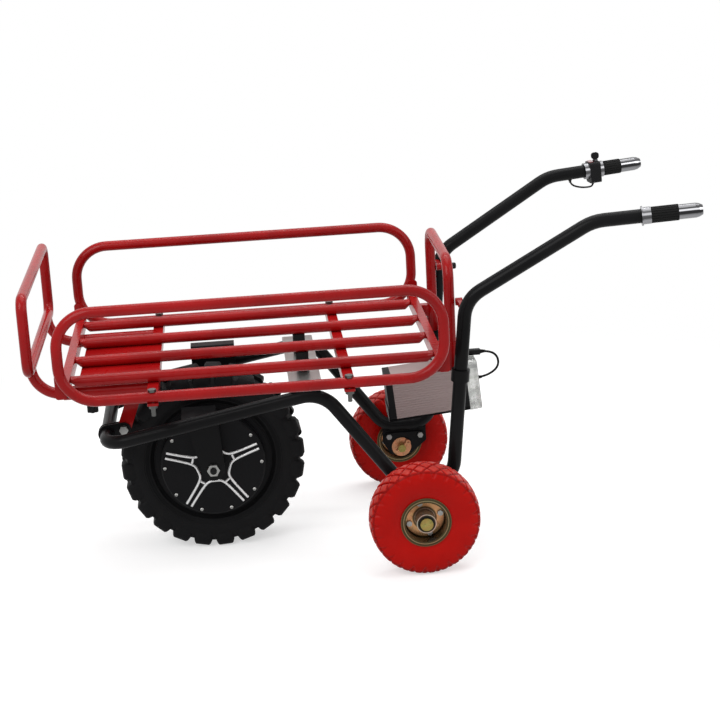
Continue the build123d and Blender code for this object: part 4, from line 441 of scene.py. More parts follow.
def clear_cover(name):
    clear = Finish(name, transmission_weight=0.78, ior=1.42)
    cloud = clear.noise(scale=40, detail=3, distortion=0.8)
    share = clear.between(cloud, 0.35, 0.65)
    clear.feed("Base Color", clear.blend(share, tone(0.62, 0.63, 0.62), tone(0.95, 0.96, 0.94)))
    clear.feed("Roughness", 0.08 + 0.14 * cloud)
    clear.relief(clear.noise(scale=45, detail=2), strength=0.30, depth=2 * MM)
    return clear.material


def board_lacquer(name):
    board = Finish(name, coat_weight=0.3)
    run, _, rise = board.parts_of(board.place)
    track = board.larger(board.off_middle(run * TRACKS_ALONG), board.off_middle(rise * TRACKS_UP))
    line = board.between(track, 0.40, 0.46)
    board.feed("Base Color", board.blend(line, tone(0.02, 0.15, 0.05), tone(0.05, 0.26, 0.09)))
    board.feed("Roughness", 0.35 + 0.15 * line)
    return board.material


def lens_red(name):
    lens = Finish(name, coat_weight=0.7, coat_roughness=0.05)
    prism = lens.off_middle(lens.parts_of(lens.place)[1] * PRISMS)
    lens.feed("Base Color", lens.blend(prism, tone(0.10, 0.003, 0.004), tone(0.34, 0.010, 0.010)))
    lens.feed("Roughness", 0.10 + 0.08 * lens.noise(scale=90, detail=2))
    lens.relief(prism, strength=0.2, depth=0.6 * MM)
    return lens.material


# Tones of paint, deep and fair, and of bright metal
BLACK = ((0.0042, 0.0042, 0.0046), (0.0075, 0.0075, 0.008))
RED = ((0.235, 0.003, 0.0035), (0.32, 0.005, 0.0055))
ZINC = (0.62, 0.62, 0.60)
CHROME = (0.88, 0.89, 0.92)
SILVER = (0.78, 0.78, 0.78)
DULL = (0.16, 0.16, 0.155)

# Painted reflection on bright metal: its brightness from its under side, 0, to its upper side, 1
ZINC_REFLECTION_BANDS = ((0.0, 0.45), (0.35, 0.55), (0.48, 0.28), (0.60, 0.80), (0.80, 1.0), (1.0, 0.75))
DULL_REFLECTION_BANDS = ((0.0, 0.4), (0.5, 0.6), (0.75, 1.0), (1.0, 0.8))
TRIM_REFLECTION_BANDS = ((0.0, 0.70), (0.5, 0.85), (1.0, 1.0))
CHROME_REFLECTION_BANDS = (
    (0.0, 0.14), (0.22, 0.26), (0.36, 0.20), (0.43, 0.035), (0.61, 0.03),
    (0.65, 0.95), (0.72, 0.95), (0.76, 0.09), (0.86, 0.08), (1.0, 0.22),
)
COLLAR_REFLECTION_BANDS = (
    (0.0, 0.16), (0.30, 0.26), (0.44, 0.07), (0.58, 0.11),
    (0.64, 0.60), (0.70, 0.55), (0.77, 0.10), (1.0, 0.22),
)
CAP_REFLECTION_BANDS = (
    (0.0, 0.12), (0.22, 0.22), (0.36, 0.17), (0.43, 0.03), (0.61, 0.03),
    (0.65, 0.9), (0.72, 0.9), (0.76, 0.07), (1.0, 0.17),
)

# Tints of the rear wheel from the axle's end, 0, to the rim's edge, 1: yellow zinc with painted shade in
# the dark rings and painted reflection in the bright ones
WHEEL_TINT_SHADE_AND_REFLECTION_RINGS = (
    (0.0, (0.24, 0.24, 0.070)), (0.25, (0.20, 0.19, 0.050)),
    (0.28, (0.020, 0.018, 0.010)), (0.345, (0.030, 0.026, 0.012)),
    (0.36, (0.34, 0.32, 0.26)), (0.385, (0.28, 0.25, 0.19)),
    (0.41, (0.05, 0.038, 0.016)), (0.46, (0.07, 0.05, 0.02)),
    (0.49, (0.36, 0.23, 0.10)), (0.72, (0.34, 0.20, 0.09)),
    (0.77, (0.06, 0.045, 0.018)), (0.85, (0.030, 0.024, 0.010)),
    (0.868, (0.20, 0.165, 0.085)), (0.880, (0.18, 0.15, 0.075)),
    (0.90, (0.030, 0.024, 0.010)), (0.955, (0.04, 0.032, 0.013)),
    (0.97, (0.10, 0.08, 0.036)), (1.0, (0.04, 0.032, 0.013)),
)
WASHER_RINGS = ((0.0, (0.36, 0.20, 0.10)), (1.0, (0.44, 0.24, 0.13)))

FINISHES = {
    "black_paint": powder_coat("black_powder_coat", *BLACK, gloss=0.30, sheen=0.05, coat=0.04),
    "red_paint": powder_coat("red_powder_coat", *RED, gloss=0.24, sheen=0.08, coat=0.16),
    "steel": plated("bright_zinc", ZINC, rough=(0.22, 0.42), reflection_bands=ZINC_REFLECTION_BANDS),
    "yellow_zinc": yellow_passivate("yellow_passivate", WHEEL_TINT_SHADE_AND_REFLECTION_RINGS),
    "motor_core": lamination_steel("lamination_steel"),
    "motor_black": cast_black("cast_black"),
    "black_tyre": tyre_rubber("tyre_rubber"),
    "red_tyre": red_urethane("red_urethane"),
    "black_rubber": soft_rubber("soft_rubber"),
    "black_plastic": moulded_plastic("moulded_plastic"),
    "battery_aluminium": drawn_aluminium("drawn_aluminium"),
    "cell_wrap": cell_sleeve("cell_sleeve"),
    "clear_plastic": clear_cover("clear_cover"),
    "board_green": board_lacquer("board_lacquer"),
    "chrome": plated("chrome_plate", CHROME, rough=(0.06, 0.14), reflection_bands=CHROME_REFLECTION_BANDS),
    "red_lens": lens_red("lens_red"),
    "trim": plated("trim_silver", SILVER, rough=(0.26, 0.38), reflection_bands=TRIM_REFLECTION_BANDS, metallic=0.6),
    "dark_seal": moulded_plastic("bearing_seal"),
    "grey_trim": handle_metal("handle_metal", COLLAR_REFLECTION_BANDS, CAP_REFLECTION_BANDS),
    "dull_bolt": plated("dull_zinc", DULL, rough=(0.34, 0.50), reflection_bands=DULL_REFLECTION_BANDS),
    "gold_washer": yellow_passivate("rose_passivate", WASHER_RINGS),
}

# Nodes whose finish differs from that of their slot
OWN_FINISH = {
    "rear_bearings_left": "dark_seal",
    "rear_bearings_right": "dark_seal",
    "motor_axle": "dark_seal",
    "grip_trim": "grey_trim",
    "fence_bolts": "dull_bolt",
    "axle_keepers": "gold_washer",
}

for sub in frame["record"]["subparts"]:
    solid = nodes[sub["node"]]
    if not solid.material_slots:
        solid.data.materials.append(None)
    for place in solid.material_slots:
        place.material = FINISHES[OWN_FINISH.get(sub["node"], sub["material_slot"])]


# Making pieces
TURNED_SHARP = 32
SAME_POINT = 1e-6


def add_piece(name, mesh):
    piece = bpy.data.objects.new(name, mesh)
    scene.collection.objects.link(piece)
    return piece


def settle(piece, body, stands_for=()):
    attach(piece, body)
    if stands_for:
        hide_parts(*stands_for)


def in_metres(points):
    return [(a * MM, b * MM) for a, b in points]


def skin(shape, here, after):
    """Faces between two loops of as many points."""
    for j in range(len(here)):
        k = (j + 1) % len(here)
        shape.faces.new((here[j], here[k], after[k], after[j]))


def loft(shape, loops):
    """A closed form through a row of loops, with a flat face at each end."""
    for here, after in zip(loops, loops[1:]):
        skin(shape, here, after)
    shape.faces.new(loops[0])
    shape.faces.new(loops[-1])


def to_mesh(shape, name, sharp=None):
    """The shape as a smooth mesh, with flat end faces, or with edges sharp from an angle in degrees."""
    bmesh.ops.recalc_face_normals(shape, faces=shape.faces)
    for face in shape.faces:
        face.smooth = bool(sharp) or len(face.verts) == 4
    mesh = bpy.data.meshes.new(name)
    shape.to_mesh(mesh)
    shape.free()
    if sharp:
        mesh.set_sharp_from_angle(angle=math.radians(sharp))
    return mesh


def turned(name, outline, centre, line, finish, steps):
    """A closed outline of (along, radius) turned about the line through centre."""
    line = Vector(line).normalized()
    side = line.orthogonal().normalized()
    lift = line.cross(side)
    shape = bmesh.new()
    loops = []
    for i in range(steps):
        angle = FULL_TURN * i / steps
        out = side * math.cos(angle) + lift * math.sin(angle)
        loops.append([shape.verts.new(Vector(centre) + line * along + out * r) for along, r in outline])
    for i in range(steps):
        skin(shape, loops[i], loops[(i + 1) % steps])
    bmesh.ops.remove_doubles(shape, verts=shape.verts, dist=SAME_POINT)
    mesh = to_mesh(shape, name, sharp=TURNED_SHARP)
    mesh.materials.append(finish)
    return add_piece(name, mesh)


def new_tree(name, inputs):
    """A geometry tree with named inputs: its bench and a wire from each input."""
    tree = bpy.data.node_groups.new(name, "GeometryNodeTree")
    tree.interface.new_socket("Geometry", in_out="OUTPUT", socket_type="NodeSocketGeometry")
    for label, kind in inputs.items():
        tree.interface.new_socket(label, in_out="INPUT", socket_type="NodeSocket" + kind)
    bench = Bench(tree)
    entry = bench.node("NodeGroupInput").socket.node
    return bench, {label: Wire(bench, entry.outputs[label]) for label in inputs}


def close_tree(bench, geometry, finish):
    """Ends the tree in plain geometry with its finish."""
    plain = bench.node("GeometryNodeRealizeInstances", None, {0: geometry})
    coated = bench.node("GeometryNodeSetMaterial", None, {"Geometry": plain, "Material": finish})
    bench.node("NodeGroupOutput", None, {0: coated})
    return bench.tree


def grow(name, tree, **values):
    """The tree's result with these input values, as a plain mesh piece."""
    piece = add_piece(name, bpy.data.meshes.new(name))
    modifier = piece.modifiers.new("grow", "NODES")
    modifier.node_group = tree
    for label, value in values.items():
        socket = tree.interface.items_tree[label.replace("_", " ")]
        modifier[socket.identifier] = value
    bpy.context.view_layer.update()
    ready = piece.evaluated_get(bpy.context.evaluated_depsgraph_get())
    mesh = bpy.data.meshes.new_from_object(ready)
    piece.modifiers.clear()
    piece.data = mesh
    return piece


def shape_of(bench, unit):
    return bench.node("GeometryNodeObjectInfo", None, {"Object": unit}, out="Geometry")


def ring_of(bench, unit, count, start, centre):
    """Count copies of a unit, turned about the axle through centre."""
    points = bench.node("GeometryNodePoints", None, {"Count": count, "Position": centre})
    angle = bench.node("GeometryNodeInputIndex") * FULL_TURN / count + start
    turn = bench.node("FunctionNodeEulerToRotation", None, {0: bench.vector(0, angle, 0)})
    sockets = {"Points": points, "Instance": unit, "Rotation": turn}
    return bench.node("GeometryNodeInstanceOnPoints", None, sockets)


# Driven tyre: moulded carcass, and a tree that sets the lugs round it. Outlines are in millimetres
BEAD_HALF = 42
BEAD_R = 127
FLANGE_R = 141
WALL_FOOT_R = 143
WALL_SPAN = 56
WALL_BULGE = (47.6, -36.6)
WALL_POINTS = 72
SHOULDER_R = 207
CROWN_RISE = 7
CROWN_HALF = 48.6
CROWN_POWER = 2.6
CROWN_STATIONS = range(44, -45, -4)
CARCASS_STEPS = 144
LUG_COUNT = 24
LUG_TURNS = (0.75, 0.25)
LUG_SHARP = 40

# Ridges on the sidewall, a rim guard and two moulded lines: radius, height, half width
RIDGES = ((152, 1.5, 2.0), (164, 0.7, 0.9), (168, 0.7, 0.9))

# The carcass's inner wall, as across and radius
INNER_WALL = (
    (-30, BEAD_R), (-30, FLANGE_R), (-44, 173), (-44, 189), (0, 199),
    (44, 189), (44, 173), (30, FLANGE_R), (30, BEAD_R),
)

# Each row of a lug: across and out at its top, across and out at its foot, half its length, lean
LUG_ROWS = (
    (3, 222.2, 3, 208, 15.0, -3.0),
    (12, 222.8, 12, 208, 16.2, -2.0),
    (26, 222.9, 26, 207, 17.8, -0.5),
    (40, 222.3, 40, 203, 19.4, 0.5),
    (49, 220.4, 45, 197, 20.4, 1.0),
    (55.0, 216.4, 48, 192, 20.6, 1.0),
    (58.0, 209.5, 50, 187, 20.0, 1.0),
    (58.2, 200.0, 52, 182, 18.0, 1.0),
    (56.6, 191.0, 52.5, 178, 14.0, 1.0),
)

# The lug's edge from foot to top: how far in from its half length, and the share of its height
LUG_EDGE = ((-4.0, 0), (-1.4, 0.55), (1.2, 0.86), (4.6, 1))


def sidewall(r):
    """Half the carcass's width at a radius."""
    share = (r - WALL_FOOT_R) / WALL_SPAN
    swell, bend = WALL_BULGE
    bulge = BEAD_HALF + swell * share + bend * share * share
    return bulge + sum(height * math.exp(-(((r - top) / half) ** 2)) for top, height, half in RIDGES)


def carcass_outline():
    rise = SHOULDER_R - WALL_FOOT_R
    radii = [WALL_FOOT_R + rise * i / (WALL_POINTS - 1) for i in range(WALL_POINTS)]
    half = [(BEAD_HALF, BEAD_R), (BEAD_HALF, FLANGE_R)] + [(sidewall(r), r) for r in radii]
    fall = [(y, (abs(y) / CROWN_HALF) ** CROWN_POWER) for y in CROWN_STATIONS]
    crown = [(y, SHOULDER_R + CROWN_RISE * (1 - share)) for y, share in fall]
    return in_metres(half + crown + [(-y, r) for y, r in reversed(half)] + list(INNER_WALL))


def lug_mesh(side):
    """One lug from the middle of the tread down over the shoulder, pointing up from the axle."""
    ends = [(-1, inset, share) for inset, share in LUG_EDGE]
    ends += [(1, -inset, share) for inset, share in reversed(LUG_EDGE)]
    shape = bmesh.new()
    loops = []
    for y, r, base_y, base_r, half, lean in LUG_ROWS:
        loop = []
        for end, inset, share in ends:
            x = end * half + inset
            along = side * (base_y + (y - base_y) * share)
            out = base_r + (r - base_r) * share
            loop.append(shape.verts.new((side * (x + lean) * MM, along * MM, out * MM)))
        loops.append(loop)
    loft(shape, loops)
    return to_mesh(shape, "lug", sharp=LUG_SHARP)


def row_tree():
    inputs = {
        "Left unit": "Object", "Right unit": "Object", "Left turn": "Float", "Right turn": "Float",
        "Count": "Int", "Centre": "Vector", "Finish": "Material",
    }
    bench, wires = new_tree("two_rows", inputs)
    rows = []
    for side in ("Right", "Left"):
        start = FULL_TURN * wires[f"{side} turn"] / wires["Count"]
        unit = shape_of(bench, wires[f"{side} unit"])
        rows.append(ring_of(bench, unit, wires["Count"], start, wires["Centre"]))
    both = bench.node("GeometryNodeJoinGeometry", None, {"Geometry": rows})
    return close_tree(bench, both, wires["Finish"])


def grow_rows(name, tree, units, turns, count, finish):
    """A row of each unit round the driven wheel, in place of the units."""
    rows = grow(
        name, tree, Left_unit=units[0], Right_unit=units[1], Left_turn=turns[0], Right_turn=turns[1],
        Count=count, Centre=WHEEL_CENTRE, Finish=finish,
    )
    for unit in units:
        bpy.data.objects.remove(unit)
    return rows


def make_drive_tyre(tree):
    rubber = FINISHES["black_tyre"]
    outline = carcass_outline()
    carcass = turned("drive_tyre_carcass", outline, WHEEL_CENTRE, (0, 1, 0), rubber, CARCASS_STEPS)
    settle(carcass, "drive_wheel", ["drive_tyre"])
    units = [add_piece(f"lug_pattern_{word}", lug_mesh(side)) for side, word in SIDES]
    lugs = grow_rows("drive_tyre_lugs", tree, units, LUG_TURNS, LUG_COUNT, rubber)
    settle(lugs, "drive_wheel")


# Domed screw heads with a socket, as along and radius in millimetres
SCREW_HEAD = (
    (-0.5, 0.05), (-0.5, 4.2), (1.2, 4.2), (2.4, 3.3), (2.8, 2.4), (2.8, 1.9), (1.2, 1.9), (1.2, 0.05),
)
SCREW_RING_R = 116.5 * MM
SCREW_COUNT = 10
SCREW_TURNS = (0.5, 0.5)
SCREW_STEPS = 20
SCREW_HEAD_H = 4 * MM


def make_cover_screws(tree):
    steel = FINISHES["steel"]
    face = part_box("cover_screws")[1].y - SCREW_HEAD_H
    units = []
    for side, word in SIDES:
        centre = (0, side * face, SCREW_RING_R)
        name = f"screw_pattern_{word}"
        units.append(turned(name, in_metres(SCREW_HEAD), centre, (0, side, 0), steel, SCREW_STEPS))
    screws = grow_rows("cover_screw_heads", tree, units, SCREW_TURNS, SCREW_COUNT, steel)
    settle(screws, "drive_wheel", ["cover_screws"])


# Bright spokes on the motor covers: five double bars joined by arcs
SPOKE_COUNT = 5
SPOKE_POINTS = 57
SPOKE_SIDES = 8
SPOKE_BEND = 4
SPOKE_FLARE = 6
SPOKE_FACE = 87.3 * MM
SPOKE_START = math.radians(-56)


def spoke_tree():
    inputs = {
        "Bar radius": "Float", "Reach": "Float", "Arc radius": "Float", "Half gap": "Float",
        "Cross bar": "Float", "Face": "Float", "Count": "Int", "Start": "Float", "Centre": "Vector",
        "Finish": "Material",
    }
    bench, wires = new_tree("cover_spokes", inputs)
    half_turn = math.pi / wires["Count"]
    sine, cosine = bench.maths("SINE", half_turn), bench.maths("COSINE", half_turn)
    gap, face, reach = wires["Half gap"], wires["Face"], wires["Reach"]
    setback = gap / sine
    spread = reach * bench.maths("SINE", half_turn - bench.maths("ARCSINE", gap / reach))
    line = bench.node("GeometryNodeCurvePrimitiveLine", None, {"Start": (-1, 0, 0), "End": (1, 0, 0)})
    line = bench.node("GeometryNodeResampleCurve", None, {"Curve": line, "Count": SPOKE_POINTS})
    share = bench.parts_of(bench.node("GeometryNodeInputPosition"))[0]
    across = share * spread
    leg = abs(across) * cosine / sine
    arc = wires["Arc radius"] - setback
    along = (leg ** SPOKE_BEND + arc ** SPOKE_BEND) ** (1 / SPOKE_BEND) + setback
    place = bench.vector(along, face, across)
    line = bench.node("GeometryNodeSetPosition", None, {"Geometry": line, "Position": place})
    flare = 1 + abs(share) ** SPOKE_FLARE
    line = bench.node("GeometryNodeSetCurveRadius", None, {"Curve": line, "Radius": flare})
    bar_x, bar_z = wires["Cross bar"] * cosine, wires["Cross bar"] * sine
    bar = bench.node("GeometryNodeCurvePrimitiveLine", None, {
        "Start": bench.vector(bar_x - gap * sine, face, bar_z + gap * cosine),
        "End": bench.vector(bar_x + gap * sine, face, bar_z - gap * cosine),
    })
    both = bench.node("GeometryNodeJoinGeometry", None, {"Geometry": [bar, line]})
    circle = {"Resolution": SPOKE_SIDES, "Radius": wires["Bar radius"]}
    rods = bench.node("GeometryNodeCurveToMesh", None, {
        "Curve": both,
        "Profile Curve": bench.node("GeometryNodeCurvePrimitiveCircle", None, circle),
        "Scale": bench.node("GeometryNodeInputRadius"),
        "Fill Caps": True,
    })
    rods = bench.node("GeometryNodeSetShadeSmooth", None, {"Geometry": rods})
    ring = ring_of(bench, rods, wires["Count"], wires["Start"], wires["Centre"])
    return close_tree(bench, ring, wires["Finish"])


def make_cover_spokes():
    tree = spoke_tree()
    for side, word in SIDES:
        spokes = grow(
            f"cover_spokes_{word}", tree, Bar_radius=3.2 * MM, Reach=117 * MM, Arc_radius=40 * MM,
            Half_gap=6.5 * MM, Cross_bar=51 * MM, Face=side * SPOKE_FACE, Count=SPOKE_COUNT,
            Start=SPOKE_START, Centre=WHEEL_CENTRE, Finish=FINISHES["trim"],
        )
        settle(spokes, "drive_wheel")


# Rear tyres: a moulded outline turned about the axle, with crossing grooves over crown and shoulders
TREAD_HALF = 29.6
TREAD_STEP = 1.85
TREAD_POINTS = 33
TREAD_DROP = 4
TREAD_REACH = 35.5
BLOCK_COLUMNS = 16
GROOVE_FLOOR = 0.22
GROOVE_LIP = 0.62
GROOVE_FOOT_R = 107 * MM
GROOVE_FULL_R = 115 * MM
SHOULDER_START = 33 * MM
SHOULDER_END = 40 * MM
SHOULDER_OUT = 0.45
SHOULDER_IN = 0.8
SEAM = 1e-5

# Added to the count of blocks, so that it stays above zero
WHOLE_BLOCKS = 100

# Half of the outline from the bead to the tread, as across and radius in millimetres
REAR_HALF = (
    (33, 51.2), (33, 58), (34.2, 64), (37, 70), (39.5, 76), (41.4, 84),
    (42.4, 92), (42.4, 100), (41.9, 107), (41, 112), (40.3, 115), (39.4, 117.6),
    (38.4, 120), (37.2, 122.2), (36, 124), (34.6, 125.4), (33, 126.3), (31.2, 126.9),
)


def rear_outline():
    """The tyre's section as (across, radius) points, close together over the tread."""
    half = list(REAR_HALF)
    across = [TREAD_HALF - TREAD_STEP * i for i in range(TREAD_POINTS)]
    crown = [(y, REAR_R / MM - TREAD_DROP * (abs(y) / TREAD_REACH) ** 2) for y in across]
    return half + crown + [(-y, r) for y, r in reversed(half)]


def outline_mesh(name, points):
    mesh = bpy.data.meshes.new(name)
    mesh.from_pydata([(0, y, r) for y, r in in_metres(points)], [], [])
    return mesh


def tread_tree():
    inputs = {
        "Outline": "Object", "Outline points": "Int", "Crown radius": "Float", "Rise": "Float",
        "Groove depth": "Float", "Groove width": "Float", "Blocks": "Int", "Centre": "Vector",
        "Finish": "Material",
    }
    bench, wires = new_tree("diamond_tread", inputs)
    points, blocks = wires["Outline points"], wires["Blocks"]
    climb, width = wires["Rise"], wires["Groove width"]
    sheet = bench.node("GeometryNodeMeshGrid", None, {
        "Size X": 1.0, "Size Y": 1.0, "Vertices X": blocks * BLOCK_COLUMNS + 1, "Vertices Y": points + 1,
    })
    run, rise, _ = bench.parts_of(bench.node("GeometryNodeInputPosition"))
    row = bench.maths("MODULO", bench.maths("ROUND", (rise + 0.5) * points), points)
    section = bench.node("GeometryNodeSampleIndex", {"data_type": "FLOAT_VECTOR", "domain": "POINT"}, {
        "Geometry": shape_of(bench, wires["Outline"]),
        "Value": bench.node("GeometryNodeInputPosition"),
        "Index": row,
    })
    _, across, out = bench.parts_of(section)
    pitch = FULL_TURN * wires["Crown radius"] / blocks
    square = pitch * climb / (pitch * pitch + climb * climb) ** 0.5
    grooves = []
    for sign in (1, -1):
        count = run * blocks + sign * across / climb
        away = bench.off_middle(count + WHOLE_BLOCKS) * square
        grooves.append(1 - bench.between(away, width * GROOVE_FLOOR, width * GROOVE_LIP))
    reach = bench.between(out, GROOVE_FOOT_R, GROOVE_FULL_R)
    depth = bench.larger(*grooves) * wires["Groove depth"] * reach
    edge = bench.between(abs(across), SHOULDER_START, SHOULDER_END)
    out = out - depth * (1 - SHOULDER_OUT * edge)
    across = across - bench.maths("SIGN", across) * depth * SHOULDER_IN * edge
    angle = run * FULL_TURN
    place = bench.vector(out * bench.maths("COSINE", angle), across, out * bench.maths("SINE", angle))
    place = bench.node("ShaderNodeVectorMath", {"operation": "ADD"}, {0: place, 1: wires["Centre"]})
    ring = bench.node("GeometryNodeSetPosition", None, {"Geometry": sheet, "Position": place})
    ring = bench.node("GeometryNodeMergeByDistance", None, {"Geometry": ring, "Distance": SEAM})
    ring = bench.node("GeometryNodeFlipFaces", None, {0: ring})
    ring = bench.node("GeometryNodeSetShadeSmooth", None, {"Geometry": ring})
    return close_tree(bench, ring, wires["Finish"])


def make_rear_tyres():
    tree = tread_tree()
    points = rear_outline()
    section = add_piece("rear_tyre_section", outline_mesh("rear_tyre_section", points))
    for _, word in SIDES:
        tyre = grow(
            f"rear_tyre_tread_{word}", tree, Outline=section, Outline_points=len(points),
            Crown_radius=REAR_R, Rise=41 * MM, Groove_depth=3.6 * MM, Groove_width=6.0 * MM, Blocks=25,
            Centre=middle(f"rear_hub_{word}"), Finish=FINISHES["red_tyre"],
        )
        settle(tyre, f"rear_wheel_{word}", [f"rear_tyre_{word}"])
    bpy.data.objects.remove(section)


# Bed slats: round tubes pressed flat at both ends, set in a row by a tree. Sections are in millimetres
SLAT_R = 13
SLAT_COUNT = 4
SLAT_SIDES = 28
PINCH_LENGTH = 15
PINCH_STATIONS = (0, 2, 4, 6, 8, 10, 12, 14, 17)
PINCH_TALL = 6.5
PINCH_WIDE = 15
PINCH_CORNER = 0.75
PINCH_DROP = 0.7


def slat_loop(share):
    """The slat's section from pressed flat, 0, to round, 1, with its top at zero."""
    tall = PINCH_TALL + (SLAT_R - PINCH_TALL) * share
    wide = PINCH_WIDE + (SLAT_R - PINCH_WIDE) * share
    corner = PINCH_CORNER + (1 - PINCH_CORNER) * share
    loop = []
    for i in range(SLAT_SIDES):
        angle = FULL_TURN * i / SLAT_SIDES
        cosine, sine = math.cos(angle), math.sin(angle)
        y = math.copysign(abs(cosine) ** corner, cosine) * wide
        z = math.copysign(abs(sine) ** corner, sine) * tall - tall - PINCH_DROP * (1 - share)
        loop.append((y, z))
    return in_metres(loop)


def slat_mesh(front, rear, top):
    length = rear - front
    stations = [d * MM for d in PINCH_STATIONS] + [length - d * MM for d in reversed(PINCH_STATIONS)]
    shape = bmesh.new()
    loops = []
    for station in stations:
        share = min(1.0, min(station, length - station) / (PINCH_LENGTH * MM))
        share = share * share * (3 - 2 * share)
        loops.append([shape.verts.new((front + station, y, top + z)) for y, z in slat_loop(share)])
    loft(shape, loops)
    return to_mesh(shape, "slat_pattern")


def slat_tree():
    inputs = {"Slat": "Object", "Count": "Int", "Pitch": "Float", "Finish": "Material"}
    bench, wires = new_tree("slat_row", inputs)
    index = bench.node("GeometryNodeInputIndex")
    across = (index - (wires["Count"] - 1) / 2) * wires["Pitch"]
    sockets = {"Count": wires["Count"], "Position": bench.vector(0, across, 0)}
    points = bench.node("GeometryNodePoints", None, sockets)
    sockets = {"Points": points, "Instance": shape_of(bench, wires["Slat"])}
    row = bench.node("GeometryNodeInstanceOnPoints", None, sockets)
    return close_tree(bench, row, wires["Finish"])


def make_slats():
    low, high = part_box("bed_slats")
    unit = add_piece("slat_pattern", slat_mesh(low.x, high.x, high.z))
    pitch = 2 * (high.y - SLAT_R * MM) / (SLAT_COUNT - 1)
    finish = FINISHES["red_paint"]
    slats = grow("bed_slat_tubes", slat_tree(), Slat=unit, Count=SLAT_COUNT, Pitch=pitch, Finish=finish)
    bpy.data.objects.remove(unit)
    settle(slats, "bed", ["bed_slats"])


# Cables, with diameters in millimetres and lengths in metres
POWER_LEAD_D = 5.5
POWER_ROUTE = [
    Vector((REAR_AXLE + x * MM, 0, z * MM)) for x, z in (
        (183.5, 434.0), (208.5, 434.0), (228.5, 418.0), (228.5, 390.2), (198.7, 370.3), (174.8, 368.2),
    )
]
THROTTLE_LEAD_D = 4.5
THROTTLE_ROUTE = [
    HANDLE_END - HANDLE_LINE * (back * MM) + HANDLE_UP * (up * MM) for back, up in (
        (110, -31), (110, -39), (120, -43), (146, -40), (170, -29), (170, -16),
    )
]
BOOT_STEPS = 24
BOOT_FLANGE_T = 1.5
BOOT_FLANGE_LIP = 0.8
BOOT_WALL = 1.0
BOOT_GROWTH = 0.35
BOOT_TAPER = 0.4
BOOT_END = 3.2
RING_PITCH = 2.2
RING_START = 3.0
RING_DEPTH = 0.7

# One groove and the ring after it: along, and the share of the groove's depth
RING_PROFILE = ((0, 1), (0.7, 1), (0.9, 0), (1.9, 0))


def lay_cable(name, route, diameter, node):
    curve = bpy.data.curves.new(name, "CURVE")
    curve.dimensions = "3D"
    curve.bevel_depth = diameter * MM / 2
    curve.bevel_resolution = 4
    curve.resolution_u = 14
    curve.use_fill_caps = True
    spline = curve.splines.new("NURBS")
    spline.points.add(len(route) - 1)
    for point, place in zip(spline.points, route):
        point.co = (*place, 1.0)
    spline.order_u = 3
    spline.use_endpoint_u = True
    curve.materials.append(FINISHES["black_rubber"])
    cable = add_piece(name, curve)
    settle(cable, "chassis", [node])


def cable_boot(number, place, toward, diameter, rings):
    """A ringed rubber boot over a cable's end, tapering along the cable."""
    bore = diameter / 2
    root = bore + BOOT_WALL + BOOT_GROWTH * rings
    lip = root + BOOT_FLANGE_LIP
    outline = [(0, bore), (0, lip), (BOOT_FLANGE_T, lip), (BOOT_FLANGE_T + 0.5, root)]
    for ring in range(rings):
        start, crest = RING_START + RING_PITCH * ring, root - BOOT_TAPER * (ring + 1)
        outline += [(start + along, crest - share * RING_DEPTH) for along, share in RING_PROFILE]
    outline = in_metres(outline + [(BOOT_END + RING_PITCH * rings, bore)])
    name = f"cable_boot_{number}"
    boot = turned(name, outline, place, toward - place, FINISHES["black_rubber"], BOOT_STEPS)
    settle(boot, "chassis")


def make_cables():
    lay_cable("power_lead", POWER_ROUTE, POWER_LEAD_D, "power_cable")
    lay_cable("throttle_lead", THROTTLE_ROUTE, THROTTLE_LEAD_D, "throttle_cable")
    cable_boot(1, POWER_ROUTE[0], POWER_ROUTE[1], POWER_LEAD_D, rings=5)
    cable_boot(2, POWER_ROUTE[-1], POWER_ROUTE[-2], POWER_LEAD_D, rings=4)
    cable_boot(3, THROTTLE_ROUTE[0], THROTTLE_ROUTE[1], THROTTLE_LEAD_D, rings=1)
    cable_boot(4, THROTTLE_ROUTE[-1], THROTTLE_ROUTE[-2], THROTTLE_LEAD_D, rings=2)


# Floor, lights and world
FLOOR_HALF = 60.0
FLOOR_NEAR = 0.9
FLOOR_FAR = 1.9
FLOOR_GREY = 0.62
FLOOR_LIFT = 0.52
WORLD_LIGHT = 0.50
LIGHT_AIM = Vector((-0.1, 0, 0.4))
WHITE = tone(1, 1, 1)


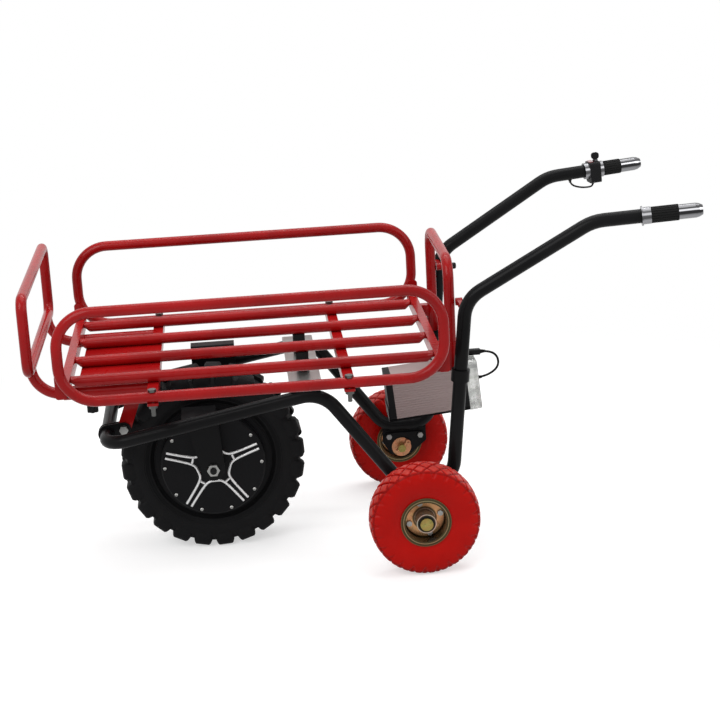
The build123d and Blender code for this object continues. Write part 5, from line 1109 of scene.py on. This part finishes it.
def pale_floor():
    """Grey that takes the shadow near the object, fading to plain white further out."""
    mesh = bpy.data.meshes.new("floor")
    corners = [(x * FLOOR_HALF, y * FLOOR_HALF, 0) for x, y in ((-1, -1), (1, -1), (1, 1), (-1, 1))]
    mesh.from_pydata(corners, [], [(0, 1, 2, 3)])
    floor = add_piece("floor", mesh)
    material = bpy.data.materials.new("pale_floor")
    material.use_nodes = True
    bench = Bench(material.node_tree)
    bench.tree.nodes.clear()
    seen = bench.seen()
    x, y, _ = bench.parts_of(bench.node("ShaderNodeTexCoord", out="Object"))
    away = bench.between((x * x + y * y) ** 0.5, FLOOR_NEAR, FLOOR_FAR)
    lit = bench.node("ShaderNodeBsdfDiffuse", None, {"Color": grey(FLOOR_GREY)})
    lift = bench.node("ShaderNodeEmission", None, {"Color": WHITE, "Strength": FLOOR_LIFT * seen})
    near = bench.node("ShaderNodeAddShader", None, {0: lit, 1: lift})
    far = bench.node("ShaderNodeEmission", None, {"Color": WHITE, "Strength": 1.0})
    both = bench.node("ShaderNodeMixShader", None, {0: away * seen, 1: near, 2: far})
    bench.node("ShaderNodeOutputMaterial", None, {"Surface": both})
    mesh.materials.append(material)


def soft_light(name, place, size, power, width=None):
    lamp = bpy.data.lights.new(name, "AREA")
    lamp.shape = "RECTANGLE"
    lamp.size = size
    lamp.size_y = width or size
    lamp.energy = power
    light = bpy.data.objects.new(name, lamp)
    turn = (LIGHT_AIM - Vector(place)).to_track_quat("-Z", "Y").to_matrix().to_4x4()
    light.matrix_world = Matrix.Translation(place) @ turn
    scene.collection.objects.link(light)


def set_world():
    world = bpy.data.worlds.new("studio")
    world.use_nodes = True
    scene.world = world
    bench = Bench(world.node_tree)
    bench.tree.nodes.clear()
    strength = WORLD_LIGHT + (1 - WORLD_LIGHT) * bench.seen()
    glow = bench.node("ShaderNodeBackground", None, {"Color": WHITE, "Strength": strength})
    bench.node("ShaderNodeOutputWorld", None, {"Surface": glow})


aim_camera()
make_cables()
wheel_rows = row_tree()
make_drive_tyre(wheel_rows)
make_cover_screws(wheel_rows)
make_cover_spokes()
make_rear_tyres()
make_slats()
pale_floor()
set_world()
soft_light("key_light", (-2.2, -2.8, 3.2), size=2.6, power=92)
soft_light("top_light", (0.3, 0.6, 3.6), size=3.0, power=70)
soft_light("fill_light", (3.0, -1.6, 2.0), size=2.4, power=28)
soft_light("line_light", (0.0, 1.4, 3.0), size=3.2, power=14, width=0.14)
